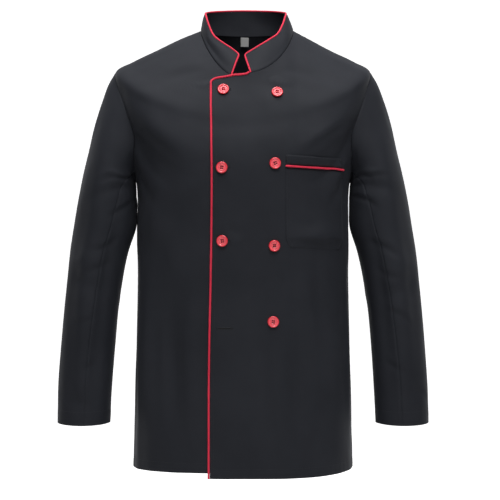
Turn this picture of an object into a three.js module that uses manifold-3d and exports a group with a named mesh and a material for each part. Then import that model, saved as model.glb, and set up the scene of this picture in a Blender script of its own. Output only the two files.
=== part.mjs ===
import * as THREE from "three";
import Module from "manifold-3d";

// A long-sleeved double-breasted cook's jacket in twill, filled out as if worn. Lengths are in mm.
// +Z is up, the front faces -Y and the wearer's left is +X. The origin is the middle of the neck
// opening, level with the side of the neck. Every size in the tables is of the cloth's outside face.

// Cloth, seams and edges
const WALL = 1.4; // one layer of twill with its turnings
const COLLAR_WALL = 2.0; // two layers sewn as one
const SEAM = 0.36; // gap between two pieces where they are joined
const LAP_LIFT = 0.6; // how far the lap's inside stands off the front beneath it
const LAP_CORD = 1.8; // radius of the piping on the lap
const COLLAR_CORD = 1.5; // and of the piping on the collar
const POCKET_CORD = 1.6;
const LAP_INSET = 2 * LAP_CORD + SEAM; // from a piped edge to the cloth's own edge
const COLLAR_INSET = 2 * COLLAR_CORD + SEAM;

// Stations up the side seam, from the hem
const HEM = 0;
const ARMPIT = 483;
const SHOULDER = 674;
const NECK = 824;
const LAP_DROP = 9; // the lap hangs this much lower than the front beneath it

// Armhole
const ARMHOLE_FRONT = 68; // reach of its front edge from the side
const ARMHOLE_BACK = 72;
const ARMHOLE_ROUND = 0.6; // lower is squarer
const ARMHOLE_STEPS = 10; // from the armpit up to the shoulder

// Fronts
const LAP_UNDER_EDGE = 52; // where the front beneath ends, at the wearer's left
const LAP_LIFT_FROM = 68; // the lap lies on the front beneath up to here
const LAP_LIFT_TO = 94; // and has come down to the plain front here
const COLLAR_END_RIGHT = -18; // collar front edge on the wearer's right, at the neckline
const COLLAR_END_LEFT = 11.6;

// Sleeve grid: the front seam starts here on the armhole, the back seam there, in degrees round it
const FRONT_SEAM_STEP = -8;
const BACK_SEAM_STEP = 7;

// Patch pocket on the wearer's left chest
const POCKET = {
  inner: 70,
  outer: 167,
  top: -217,
  slope: 4,
  band: 16,
  pipe: 3.6,
  bottom: -369,
  corner: 5,
};

// Buttons
const BUTTON = { radius: 9.5, thick: 3.2, dish: 0.9, hole: 0.95, spread: 2.1 };

const byName = (names, rows) =>
  rows.map((row) => Object.fromEntries(names.map((name, i) => [name, row[i]])));

// Rings of the body: half width, depth to the front and back, and the height at the side, front and
// back. "square" is 2 for an ellipse, "rise" shapes the way the height goes from side to middle, and
// "shift" is how far the ring has moved to the wearer's left.
const BODY = byName(
  ["v", "half", "front", "back", "zSide", "zFront", "zBack", "square", "rise", "shift"],
  [
    [-10, 187.8, 134, 124, -752, -749, -751, 2.35, 2, 0],
    [0, 187.6, 134, 124, -742, -739, -741, 2.35, 2, 0],
    [91, 186.4, 132, 121, -650, -650, -650, 2.35, 2, 0],
    [201, 184, 128, 114, -540, -540, -540, 2.35, 2, 0],
    [289, 182, 128, 112, -452, -452, -452, 2.35, 2, 0],
    [392, 181, 132, 117, -349, -349, -349, 2.4, 2, 0],
    [483, 183, 136, 124, -258, -258, -258, 2.4, 2, 0],
    [541, 196, 135, 126, -200, -225, -216, 2.4, 2, 0],
    [601, 210, 130, 123, -140, -192, -168, 2.4, 2, 0],
    [646, 217, 123, 117, -95, -168, -130, 2.35, 2, 0],
    [674, 218, 119, 112, -67, -152, -108, 2.3, 1.8, 0],
    [706, 190, 113, 103, -50, -133, -82, 2.2, 1.6, 0.5],
    [751, 150, 105, 88, -30.5, -113, -48, 2.1, 1.5, 0.5],
    [793, 109, 98, 73, -9.5, -95, -17, 2.05, 1.4, 3],
    [824, 80, 93, 62, 4, -79, 2, 2, 1.3, 7],
    [834, 72, 91, 58, 8, -73, 9, 2, 1.3, 8],
  ],
);

// Edge of the lap, piping included
const LAP_EDGE = byName(
  ["v", "x"],
  [
    [-10, -57.4],
    [0, -57.4],
    [211, -56.4],
    [330, -54],
    [471, -52.4],
    [640, -53.6],
    [760, -54.5],
    [824, -54.5],
  ],
);

// How far the neckline edge of each front is cut down from the neck seam, by place across the front
const LAP_TOP = byName(
  ["x", "drop"],
  [
    [-60, 72],
    [-54.5, 66],
    [-50, 52],
    [-45, 42],
    [-34.5, 32],
    [-13, 14],
    [10.4, 5],
    [11.6, 0],
    [200, 0],
  ],
);
const UNDER_TOP = byName(
  ["x", "drop"],
  [
    [-200, 0],
    [-68, 0],
    [-58, 1.2],
    [-47, 4],
    [-36, 8],
    [-27, 11.8],
    [-18, 15.5],
    [-16.8, 18],
    [0, 22],
    [20, 18],
    [60, 12],
  ],
);

// Sections down the sleeve: the outer and inner points of each ring, its middle and its depths
const SLEEVE = byName(
  ["s", "outX", "outZ", "inX", "inZ", "y", "front", "back", "dip"],
  [
    [0, 218, -67, 183, -257.6, 0, 68, 72, 0],
    [20, 228.5, -84, 184, -257.7, 0, 68, 72, 0],
    [57, 241.5, -119, 184.4, -258.2, 0, 69, 72, 0],
    [100, 254.5, -161, 184.2, -260, 0, 70, 72, 0],
    [146, 265, -205, 183.5, -266, 0, 71, 71, 0],
    [188, 275, -246, 182.8, -280, 0, 71, 70, 0],
    [230, 283, -287, 182.1, -303, -1, 69, 69, 0],
    [276, 290, -333, 183.8, -336, -2, 66, 67, 0],
    [314, 296, -371, 196, -374, -3, 63, 65, 0],
    [383, 303, -440, 209.4, -441, -5, 58, 61, 0],
    [478, 311.5, -535, 219, -535, -10, 51, 53, 0],
    [548, 316, -609, 224, -609, -15, 47, 49, 1],
    [600, 316.8, -667, 227, -667, -18, 45, 46, 2],
  ],
);
const SLEEVE_ROWS = [
  0, 10, 24, 42, 64, 88, 114, 140, 164, 187, 210, 234, 260, 290, 325, 362, 400, 440, 482,
  526, 566, 600,
];

// Lengthwise seams of the sleeve, in degrees round it: 0 is the outside, -90 the front
const SLEEVE_SEAMS = byName(
  ["s", "front", "back"],
  [
    [0, -144, 126],
    [110, -138, 124],
    [200, -119, 121],
    [260, -109, 119],
    [380, -103, 116],
    [480, -98, 110],
    [600, -94, 105],
  ],
);

// Largest folds. A fold runs from one place to another, in degrees round the piece and mm along it;
// width is its half width and depth how far it goes in (down) or out (up).
const FOLD = ["a0", "l0", "a1", "l1", "width", "depth"];
const BODY_FOLDS = byName(FOLD, [
  [-152, 590, -122, 480, 24, -2.6],
  [-148, 440, -128, 380, 24, 1.8],
  [-28, 590, -56, 480, 24, -2.4],
  [-150, 330, -142, 60, 24, 2.6],
  [-128, 300, -122, 40, 22, -2.6],
  [-62, 250, -66, 20, 22, -2.4],
  [-38, 300, -32, 30, 24, 2.8],
  [-8, 330, -12, 60, 20, -3.0],
  [-172, 330, -168, 60, 20, -3.0],
  [40, 330, 48, 20, 24, 4.0],
  [62, 290, 66, 0, 20, -3.4],
  [96, 300, 92, 10, 26, 3.6],
  [122, 340, 116, 40, 20, -3.6],
  [146, 320, 140, 30, 24, 3.6],
  [34, 585, 60, 470, 24, -3.0],
  [146, 585, 120, 470, 24, -3.0],
  [60, 640, 120, 640, 18, -1.8],
  [70, 350, 112, 330, 16, -2.6],
]);
const SLEEVE_FOLDS = {
  left: byName(FOLD, [
    [-150, 150, -60, 215, 12, -2.6],
    [40, 330, 150, 360, 13, -3.2],
    [60, 370, 170, 392, 13, 2.8],
    [-120, 395, -40, 372, 13, -2.8],
    [-100, 330, -20, 344, 14, 2.0],
    [20, 520, 110, 545, 13, -2.2],
    [-90, 560, -20, 540, 12, -2.0],
    [30, 120, 100, 190, 18, -2.4],
  ]),
  right: byName(FOLD, [
    [-146, 160, -66, 225, 12, -2.6],
    [50, 318, 160, 352, 13, -3.2],
    [50, 380, 165, 405, 13, 2.8],
    [-124, 388, -46, 362, 13, -2.8],
    [-96, 322, -24, 340, 14, 2.0],
    [30, 505, 120, 536, 13, -2.2],
    [-100, 570, -30, 556, 12, -2.2],
    [36, 130, 104, 196, 18, -2.4],
  ]),
};

// Where the buttons are: x and z on the lap
const BUTTONS = byName(
  ["x", "z"],
  [
    [-32, -108],
    [-34, -238],
    [-33, -358],
    [57, -113],
    [53, -231],
    [51.6, -366],
    [49.5, -491],
  ],
);

const rad = THREE.MathUtils.degToRad;
const mix = THREE.MathUtils.lerp;
const ease = (x, from, to) => THREE.MathUtils.smoothstep(x, from, to);

// A smooth curve through the rows of a table, one function for each column.
function curves(rows, key) {
  const names = Object.keys(rows[0]).filter((name) => name !== key);
  const xs = rows.map((row) => row[key]);
  const last = xs.length - 1;
  const step = (ys, i) => (ys[i + 1] - ys[i]) / (xs[i + 1] - xs[i]);
  const made = {};
  for (const name of names) {
    const ys = rows.map((row) => row[name]);
    const slopes = ys.map((_, i) => {
      if (i === 0) return step(ys, 0);
      if (i === last) return step(ys, last - 1);
      const before = xs[i] - xs[i - 1];
      const after = xs[i + 1] - xs[i];
      return (step(ys, i - 1) * after + step(ys, i) * before) / (before + after);
    });
    made[name] = (x) => {
      let i = 0;
      while (i < last - 1 && x > xs[i + 1]) i += 1;
      const h = xs[i + 1] - xs[i];
      const t = (x - xs[i]) / h;
      const a = (1 + 2 * t) * (1 - t) * (1 - t);
      const b = t * (1 - t) * (1 - t);
      const c = t * t * (3 - 2 * t);
      const d = t * t * (t - 1);
      return a * ys[i] + b * h * slopes[i] + c * ys[i + 1] + d * h * slopes[i + 1];
    };
  }
  return made;
}

// Straight lines between the rows of a two-column table.
function line(rows, key, name) {
  return (x) => {
    let i = 0;
    while (i < rows.length - 2 && x > rows[i + 1][key]) i += 1;
    const t = (x - rows[i][key]) / (rows[i + 1][key] - rows[i][key]);
    return mix(rows[i][name], rows[i + 1][name], THREE.MathUtils.clamp(t, 0, 1));
  };
}

const body = curves(BODY, "v");
const lapEdge = curves(LAP_EDGE, "v").x;
const lapTop = line(LAP_TOP, "x", "drop");
const underTop = line(UNDER_TOP, "x", "drop");
const section = curves(SLEEVE, "s");
const seams = curves(SLEEVE_SEAMS, "s");

// Height of all folds of a table at a place, where one degree round is `round` mm.
function foldsAt(folds, round, angle, along) {
  let height = 0;
  for (const f of folds) {
    const turns = Math.round((angle - f.a0) / 360);
    const x = (angle - 360 * turns - f.a0) * round;
    const y = along - f.l0;
    const dx = (f.a1 - f.a0) * round;
    const dy = f.l1 - f.l0;
    const length = Math.hypot(dx, dy);
    const t = (x * dx + y * dy) / (length * length);
    const off = (x * dy - y * dx) / length;
    const over = Math.max(0, -t, t - 1) * length;
    const middle = Math.sin(Math.PI * THREE.MathUtils.clamp(t * 0.8 + 0.1, 0, 1));
    height += f.depth * middle * Math.exp(-(off * off + over * over) / (f.width * f.width));
  }
  return height;
}

// Normal of a surface at (u, v), from steps du and dv.
function normalAt(surface, u, v, du, dv) {
  const across = surface(u, v + dv).sub(surface(u, v - dv));
  const up = surface(u + du, v).sub(surface(u - du, v));
  return across.cross(up).normalize();
}

// The body's plain form at station v and an angle round it: 0 is the wearer's left, -90 the front.
function plainBody(v, angle) {
  const c = Math.cos(rad(angle));
  const s = Math.sin(rad(angle));
  const n = body.square(v);
  const q = (Math.abs(c) ** n + Math.abs(s) ** n) ** (1 / n);
  const depth = s < 0 ? body.front(v) : body.back(v);
  const zMiddle = s < 0 ? body.zFront(v) : body.zBack(v);
  const z = mix(body.zSide(v), zMiddle, Math.abs(s) ** body.rise(v));
  return new THREE.Vector3(body.shift(v) + (body.half(v) * c) / q, (depth * s) / q, z);
}

// The body's outside face with its folds.
function bodyAt(v, angle) {
  const n = normalAt(plainBody, v, angle, 2, 0.5);
  const fade = 1 - ease(v, 640, 740);
  const height = foldsAt(BODY_FOLDS, 2.9, angle, v) * fade;
  return plainBody(v, angle).addScaledVector(n, height);
}

// Angle on the front at which the body's plain form has a given x.
function angleAtX(v, x) {
  const n = body.square(v);
  const off = x - body.shift(v);
  const part = Math.min(0.9999, Math.abs(off) / body.half(v));
  if (part < 1e-6) return -90;
  const t = Math.atan((part ** -n - 1) ** (1 / n)) * (180 / Math.PI);
  return off > 0 ? -t : -180 + t;
}

// Angle from the side at which it has a given depth, to the front or the back.
function angleAtDepth(v, depth, reach) {
  const n = body.square(v);
  const part = Math.min(0.9999, depth / reach);
  return Math.atan(1 / (part ** -n - 1) ** (1 / n)) * (180 / Math.PI);
}

// How far the armhole's edge is from the side at station v; the seam's half gap elsewhere.
function edgeDepth(v, reach) {
  const t = (v - ARMPIT) / (SHOULDER - ARMPIT);
  if (t <= 0 || t >= 1) return SEAM / 2;
  return Math.max(SEAM / 2, reach * Math.sin(Math.PI * t) ** ARMHOLE_ROUND);
}

const frontEdge = (v) => angleAtDepth(v, edgeDepth(v, ARMHOLE_FRONT), body.front(v));
const backEdge = (v) => angleAtDepth(v, edgeDepth(v, ARMHOLE_BACK), body.back(v));

// A closed solid from two grids of points, outside and inside, with the rim between them.
function sheet(name, material, rows, columns, at) {
  const position = [];
  const index = [];
  const width = columns + 1;
  for (const face of ["outer", "inner"]) {
    for (let i = 0; i <= rows; i += 1) {
      for (let j = 0; j <= columns; j += 1) position.push(...at(i, j)[face].toArray());
    }
  }
  const layer = (rows + 1) * width;
  const quad = (a, b, c, d) => index.push(a, b, c, a, c, d);
  for (let i = 0; i < rows; i += 1) {
    for (let j = 0; j < columns; j += 1) {
      const a = i * width + j;
      quad(a, a + 1, a + width + 1, a + width);
      quad(layer + a, layer + a + width, layer + a + width + 1, layer + a + 1);
    }
  }
  for (let j = 0; j < columns; j += 1) {
    const b = rows * width + j;
    quad(j, layer + j, layer + j + 1, j + 1);
    quad(b, b + 1, layer + b + 1, layer + b);
  }
  for (let i = 0; i < rows; i += 1) {
    const a = i * width;
    const b = a + columns;
    quad(a, a + width, layer + a + width, layer + a);
    quad(b, layer + b, layer + b + width, b + width);
  }
  return solid(name, material, position, index);
}

// A mesh from points and triangles, turned so that its faces look out.
function solid(name, material, position, index) {
  const a = new THREE.Vector3();
  const b = new THREE.Vector3();
  const c = new THREE.Vector3();
  let volume = 0;
  for (let i = 0; i < index.length; i += 3) {
    a.fromArray(position, 3 * index[i]);
    b.fromArray(position, 3 * index[i + 1]);
    c.fromArray(position, 3 * index[i + 2]);
    volume += a.dot(b.cross(c));
  }
  if (volume < 0) {
    for (let i = 0; i < index.length; i += 3) {
      [index[i + 1], index[i + 2]] = [index[i + 2], index[i + 1]];
    }
  }
  const geometry = new THREE.BufferGeometry();
  geometry.setAttribute("position", new THREE.Float32BufferAttribute(position, 3));
  geometry.setIndex(index);
  geometry.computeVertexNormals();
  return named(new THREE.Mesh(geometry, material.clone()), name);
}

function named(mesh, name) {
  mesh.name = name;
  mesh.material.name = name;
  return mesh;
}

// Points of a surface moved out along its normal: `low` is the inside face, `high` the outside.
function layerOn(surface, u, v, du, dv, low, high) {
  const p = surface(u, v);
  const n = normalAt(surface, u, v, du, dv);
  return {
    outer: p.clone().addScaledVector(n, high),
    inner: p.clone().addScaledVector(n, low),
  };
}

const CLOTH = new THREE.MeshStandardMaterial({ color: 0x26272b, roughness: 0.85 });
const RED_CORD = new THREE.MeshStandardMaterial({ color: 0xc4283c, roughness: 0.7 });
const RED_GLOSS = new THREE.MeshStandardMaterial({ color: 0xe23040, roughness: 0.3 });
const GREY_TAPE = new THREE.MeshStandardMaterial({ color: 0xb4b4b2, roughness: 0.9 });

// Stations of the body's rows: the hem, the side, the armhole and the shoulder
const SIDE_ROWS = [HEM, 14, 54, 100, 148, 196, 244, 292, 340, 386, 430, 460, ARMPIT];
const YOKE_ROWS = [SHOULDER, 694, 716, 740, 764, 786, 806, NECK];

// Each row has its station at the side or the armhole's edge, and the one it has come to in the
// middle of the piece, where the rows are evenly apart.
function bodyRows() {
  const rows = SIDE_ROWS.map((v) => [v, v]);
  for (let k = 1; k < ARMHOLE_STEPS; k += 1) {
    const t = (1 - Math.cos((Math.PI * k) / ARMHOLE_STEPS)) / 2;
    rows.push([mix(ARMPIT, SHOULDER, t), mix(ARMPIT, SHOULDER, k / ARMHOLE_STEPS)]);
  }
  return [...rows, ...YOKE_ROWS.map((v) => [v, v])];
}

// The station moved down by the neckline's cut, over the yoke only.
function cutDown(v, drop) {
  return v - drop * ease(v, SHOULDER - 60, NECK);
}

// How far the lap's outside stands above the body's plain outside face, by x.
function lapHeight(x) {
  return (LAP_LIFT + WALL) * (1 - ease(x, LAP_LIFT_FROM, LAP_LIFT_TO));
}

// A front's grid lines run from the side to `end`, then to x of each of the rest. Gives the
// station and angle of line j in a row, before the neckline is cut.
function frontNode([atEdge, atMiddle], j, wide, ends, left) {
  const u = Math.min(1, j / wide);
  const v = mix(atEdge, atMiddle, ease(u, 0, 1));
  if (j > wide) return [v, angleAtX(v, ends[j - wide](v))];
  const plain = angleAtDepth(v, SEAM / 2, body.front(v));
  const edge = frontEdge(atEdge);
  const angle = mix(plain, left ? -angleAtX(v, ends[0](v)) : angleAtX(v, ends[0](v)) + 180, u);
  const turned = angle + (edge - plain) * (1 - u) * (1 - u);
  return [v, left ? -turned : -180 + turned];
}

const LAP_WIDE = 12;
const LAP_LINES = [
  () => COLLAR_END_LEFT,
  ...[10.4, 1, -10, -21, -31, -39, -45.5].map((x) => () => x),
  (v) => lapEdge(v) + LAP_INSET,
];
const LAP_COLUMNS = LAP_WIDE + LAP_LINES.length - 1;
const BODY_ROWS = bodyRows();

// A node of the lap's grid: its place on the body and how high the outside of the cloth stands.
function lapNode(i, j) {
  const [plain, first] = frontNode(BODY_ROWS[i], j, LAP_WIDE, LAP_LINES, true);
  const x = plainBody(plain, first).x;
  let v = cutDown(plain, lapTop(x));
  if (i === 0) v -= LAP_DROP * ease(j / LAP_WIDE, 0, 0.8);
  const line = j >= LAP_WIDE ? LAP_LINES[j - LAP_WIDE](plain) : null;
  const angle = line === null ? first : angleAtX(v, line);
  return { v, angle, high: lapHeight(plainBody(v, angle).x) };
}

// The lap at fractions of its grid, moved out by `low` and `high` from its outside face.
function lapLayer(i, j, low, high) {
  const clamp = THREE.MathUtils.clamp;
  const i0 = clamp(Math.floor(i), 0, BODY_ROWS.length - 2);
  const j0 = clamp(Math.floor(j), 0, LAP_COLUMNS - 1);
  const a = i - i0;
  const b = j - j0;
  const weights = [
    [i0, j0, 1 - Math.max(a, b)],
    [i0, j0 + 1, Math.max(0, b - a)],
    [i0 + 1, j0, Math.max(0, a - b)],
    [i0 + 1, j0 + 1, Math.min(a, b)],
  ];
  const outer = new THREE.Vector3();
  const inner = new THREE.Vector3();
  for (const [row, column, weight] of weights) {
    const at = lapPoints(row, column);
    outer.addScaledVector(at.point, weight).addScaledVector(at.normal, weight * high);
    inner.addScaledVector(at.point, weight).addScaledVector(at.normal, weight * low);
  }
  return { outer, inner };
}

const lapMade = new Map();

function lapPoints(i, j) {
  const key = `${i} ${j}`;
  if (!lapMade.has(key)) {
    const { v, angle, high } = lapNode(i, j);
    const normal = normalAt(bodyAt, v, angle, 1.5, 0.4);
    lapMade.set(key, { point: bodyAt(v, angle).addScaledVector(normal, high), normal });
  }
  return lapMade.get(key);
}

function frontLeft() {
  return sheet("front_left", CLOTH, BODY_ROWS.length - 1, LAP_COLUMNS, (i, j) =>
    lapLayer(i, j, -WALL, 0),
  );
}

// The station to which the front beneath is cut down, at an angle on it.
function underCut(plain, angle) {
  let v = plain;
  for (let k = 0; k < 8; k += 1) v = cutDown(plain, underTop(plainBody(v, angle).x));
  return v;
}

const UNDER_WIDE = 9;
const UNDER_LINES = [COLLAR_END_RIGHT, COLLAR_END_RIGHT + 1.2, -4, 10, 24, 38, LAP_UNDER_EDGE].map(
  (x) => () => x,
);

function frontRight() {
  const columns = UNDER_WIDE + UNDER_LINES.length - 1;
  return sheet("front_right", CLOTH, BODY_ROWS.length - 1, columns, (i, j) => {
    const [plain, first] = frontNode(BODY_ROWS[i], j, UNDER_WIDE, UNDER_LINES, false);
    const line = j >= UNDER_WIDE ? UNDER_LINES[j - UNDER_WIDE]() : null;
    const v = line === null ? underCut(plain, first) : cutDown(plain, underTop(line));
    const angle = line === null ? first : angleAtX(v, line);
    return layerOn(bodyAt, v, angle, 1.5, 0.4, -WALL, 0);
  });
}

function back() {
  const columns = 20;
  return sheet("back", CLOTH, BODY_ROWS.length - 1, columns, (i, j) => {
    const [atEdge, atMiddle] = BODY_ROWS[i];
    const u = j / columns;
    const v = mix(atEdge, atMiddle, Math.sin(Math.PI * u) ** 0.8);
    const plain = angleAtDepth(v, SEAM / 2, body.back(v));
    const shift = (backEdge(atEdge) - plain) * (1 - 2 * u) * Math.abs(1 - 2 * u);
    const angle = mix(plain, 180 - plain, u) + shift;
    return layerOn(bodyAt, v, angle, 1.5, 0.4, -WALL, 0);
  });
}

// Armhole edge at an angle round the sleeve, in the frame of a left sleeve: the point on the body's
// outside, the body's normal there and the way across the seam into the hole.
const armholes = new Map();

function armhole(side, turn) {
  const key = `${side} ${turn.toFixed(7)}`;
  if (!armholes.has(key)) armholes.set(key, armholeEdge(side, turn));
  const { point, normal, across } = armholes.get(key);
  return { point: point.clone(), normal: normal.clone(), across: across.clone() };
}

function armholeEdge(side, turn) {
  const flip = new THREE.Vector3(side, 1, 1);
  const place = (angle) => {
    const v = mix(ARMPIT, SHOULDER, (1 + Math.cos(rad(angle))) / 2);
    const front = Math.sin(rad(angle)) < 0;
    const off = front ? -frontEdge(v) : backEdge(v);
    return [v, side > 0 ? off : 180 - off];
  };
  const [v, angle] = place(turn);
  const point = bodyAt(v, angle).multiply(flip);
  const normal = normalAt(bodyAt, v, angle, 1.5, 0.4).multiply(flip);
  const ahead = bodyAt(...place(turn + 4)).multiply(flip);
  const behind = bodyAt(...place(turn - 4)).multiply(flip);
  const across = ahead.sub(behind).cross(normal).normalize();
  if (across.dot(new THREE.Vector3(215, 0, -165).sub(point)) < 0) across.negate();
  return { point, normal, across };
}

// The sleeve's outside face in the frame of a left sleeve, s mm down it.
function plainSleeve(side, s, turn) {
  const c = Math.cos(rad(turn));
  const k = Math.sin(rad(turn));
  const ring = (at) => {
    const outer = new THREE.Vector3(section.outX(at), 0, section.outZ(at));
    const inner = new THREE.Vector3(section.inX(at), 0, section.inZ(at));
    const depth = k < 0 ? section.front(at) : section.back(at);
    const point = outer.clone().lerp(inner, (1 - c) / 2);
    point.y = section.y(at) + depth * k;
    point.z -= section.dip(at) * Math.max(0, -k) ** 2;
    return point;
  };
  const point = ring(s);
  const left = 1 - ease(s, 0, 170);
  if (left > 0) {
    const seam = armhole(side, turn);
    const start = seam.point.addScaledVector(seam.across, SEAM);
    point.add(start.sub(ring(0)).multiplyScalar(left));
  }
  return point;
}

function sleeve(name, which, steps, from, to) {
  const side = which === "left" ? 1 : -1;
  const plain = (s, turn) => plainSleeve(side, s, turn);
  const surface = (s, turn) => {
    const n = normalAt(plain, s, turn, 1, 1).negate();
    const fade = ease(s, 8, 60) * (1 - ease(s, 575, 600));
    const height = foldsAt(SLEEVE_FOLDS[which], 0.95, turn, s) * fade;
    return plain(s, turn).addScaledVector(n, height);
  };
  return sheet(name, CLOTH, SLEEVE_ROWS.length - 1, steps, (i, j) => {
    const s = SLEEVE_ROWS[i];
    const gap = (SEAM / 2 / 55) * (180 / Math.PI);
    const turn = mix(from(s) + gap, to(s) - gap, j / steps);
    const outer = surface(s, turn);
    let out = normalAt(surface, Math.max(1, s), turn, 1, 1).negate();
    if (i === 0) {
      const seam = armhole(side, turn);
      const lean = Math.acos(Math.cos(rad(turn))) / 2;
      out = seam.normal.multiplyScalar(Math.cos(lean));
      out.addScaledVector(seam.across, -Math.sin(lean));
    }
    const inner = outer.clone().addScaledVector(out, -WALL);
    if (side < 0) {
      outer.x *= -1;
      inner.x *= -1;
    }
    return { outer, inner };
  });
}

function sleeves() {
  const made = [];
  for (const which of ["left", "right"]) {
    const top = BACK_SEAM_STEP - FRONT_SEAM_STEP;
    const under = 2 * ARMHOLE_STEPS - top;
    const turned = (s) => seams.front(s) + 360;
    made.push(sleeve(`sleeve_${which}_top`, which, top, seams.front, seams.back));
    made.push(sleeve(`sleeve_${which}_under`, which, under, seams.back, turned));
  }
  return made;
}

// Collar: from the neckline up to its top ring. c runs from the wearer's right end round the back
// to the left end, h from 0 at the neck seam to 1 at the top.
const COLLAR = { shift: 4.5, half: 69.5, front: 72, back: 57, zSide: 36, zBack: 48 };
const COLLAR_TOP_RIGHT = -3.6;
const COLLAR_TOP_LEFT = 0.4;

// Height of the collar's top edge on either side, by degrees from the side to the front
const COLLAR_TOP = byName(
  ["turn", "right", "left"],
  [
    [0, 36, 36],
    [11, 30, 30],
    [26, 11, 12],
    [38, -6, -4],
    [53, -19, -15],
    [70, -32, -27.2],
    [83, -43.5, -37],
    [95, -46.5, -46],
  ],
);
const collarTopHeight = curves(COLLAR_TOP, "turn");

// The top ring at an angle round it, from the wearer's right over the back to the left.
function collarTop(angle) {
  const c = Math.cos(rad(angle));
  const s = Math.sin(rad(angle));
  const y = s * (s < 0 ? COLLAR.front : COLLAR.back);
  const left = angle < -270;
  const turn = Math.acos(THREE.MathUtils.clamp(left ? c : -c, -1, 1)) * (180 / Math.PI);
  const front = collarTopHeight[left ? "left" : "right"](turn);
  const back = COLLAR.zSide + (COLLAR.zBack - COLLAR.zSide) * s;
  return new THREE.Vector3(COLLAR.shift + COLLAR.half * c, y, s < 0 ? front : back);
}

// Angle round the neckline at c.
function collarFoot(c) {
  const end = COLLAR_END_RIGHT - COLLAR_INSET;
  const start = angleAtX(NECK - underTop(end), end);
  return mix(start, angleAtX(NECK, COLLAR_END_LEFT + COLLAR_INSET) - 360, c);
}

// The station of the neck seam there, lower where the front beneath is cut down.
function neckStation(angle) {
  return angle > -180 ? underCut(NECK, angle) : NECK;
}

function collarAt(h, c) {
  const topAngle = (x) => -Math.acos((x - COLLAR.shift) / COLLAR.half) * (180 / Math.PI);
  const startHigh = topAngle(COLLAR_TOP_RIGHT - COLLAR_INSET);
  const endHigh = topAngle(COLLAR_TOP_LEFT + COLLAR_INSET) - 360;
  const low = collarFoot(c);
  const neck = neckStation(low);
  const base = bodyAt(neck, low);
  const rise = bodyAt(neck, low).sub(bodyAt(neck - 2, low)).normalize();
  base.addScaledVector(rise, SEAM + (base.y < 0 ? 0.35 : 0.1));
  base.addScaledVector(normalAt(bodyAt, neck, low, 1.5, 0.4), collarLift(base));
  const point = base.lerp(collarTop(mix(startHigh, endHigh, c)), h);
  const out = new THREE.Vector3(point.x, point.y, 0).normalize();
  return point.addScaledVector(out, 1.6 * Math.sin(Math.PI * h));
}

// The left end of the collar is sewn to the lap, so it stands as high as the lap does.
function collarLift(base) {
  const left = base.y < 0 ? ease(base.x, -6, 6) : 0;
  return left * lapHeight(base.x);
}

const COLLAR_ROWS = 4;
const COLLAR_COLUMNS = 40;

// A node of the collar's grid: outside and inside face.
function collarNode(i, j) {
  const c = j / COLLAR_COLUMNS;
  const height = collarAt(1, c).distanceTo(collarAt(0, c));
  const h = ((1 - COLLAR_INSET / height) * i) / COLLAR_ROWS;
  const outer = collarAt(h, c);
  const n = normalAt(collarAt, Math.max(0.02, h), c, 0.01, 0.001);
  if (n.dot(new THREE.Vector3(outer.x, outer.y, 0)) < 0) n.negate();
  const foot = collarFoot(c);
  if (i === 0) n.add(normalAt(bodyAt, neckStation(foot), foot, 1.5, 0.4)).normalize();
  return { outer, inner: outer.clone().addScaledVector(n, -COLLAR_WALL) };
}

function collar() {
  return sheet("collar", CLOTH, COLLAR_ROWS, COLLAR_COLUMNS, collarNode);
}

// A path whose stations are spread over its own points rather than over its length.
class EdgePath extends THREE.CatmullRomCurve3 {
  getPointAt(u, target) {
    return this.getPoint(u, target);
  }

  getTangentAt(u, target) {
    return this.getTangent(u, target);
  }
}

// A round cord along a list of points, with `each` steps from one to the next.
function cord(name, points, radius, each) {
  const extrudePath = new EdgePath(points, false, "centripetal");
  const round = new THREE.Shape();
  const sides = 7;
  for (let i = 0; i < sides; i += 1) {
    const a = (2 * Math.PI * i) / sides;
    const at = [radius * Math.cos(a), radius * Math.sin(a)];
    if (i === 0) round.moveTo(...at);
    else round.lineTo(...at);
  }
  round.closePath();
  const steps = Math.round((points.length - 1) * each);
  const geometry = new THREE.ExtrudeGeometry(round, { extrudePath, steps });
  return named(new THREE.Mesh(geometry, RED_CORD.clone()), name);
}

// A point beyond an edge of a sheet, in line with the cloth, for the middle of a cord. `inside` is
// the next node in from the edge, `before` and `after` its neighbours along the edge.
function beyond(edge, inside, before, after, radius, lift) {
  const middle = ({ outer, inner }) => outer.clone().lerp(inner, 0.5);
  const along = middle(after).sub(middle(before)).normalize();
  const way = middle(edge).sub(middle(inside));
  way.addScaledVector(along, -way.dot(along)).normalize();
  const up = edge.outer.clone().sub(edge.inner).normalize();
  return middle(edge).addScaledVector(way, radius + SEAM).addScaledVector(up, lift);
}

// Points along one edge of a grid of nodes, from node(k) with its inner neighbour next(k).
function alongEdge(node, next, [from, to], radius, lift) {
  const points = [];
  const way = Math.sign(to - from);
  for (let k = from; (to - k) * way >= 0; k += way) {
    const before = k === from ? k : k - way;
    const after = k === to ? k : k + way;
    points.push(beyond(node(k), next(k), node(before), node(after), radius, lift));
  }
  return points;
}

// The point of a cord round the corner of a sheet, from its two neighbours on the edges.
function roundCorner({ outer, inner }, one, other) {
  const corner = outer.clone().lerp(inner, 0.5);
  const way = one.clone().add(other).addScaledVector(corner, -2);
  return corner.addScaledVector(way.normalize(), 1.12 * one.distanceTo(corner));
}

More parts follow.
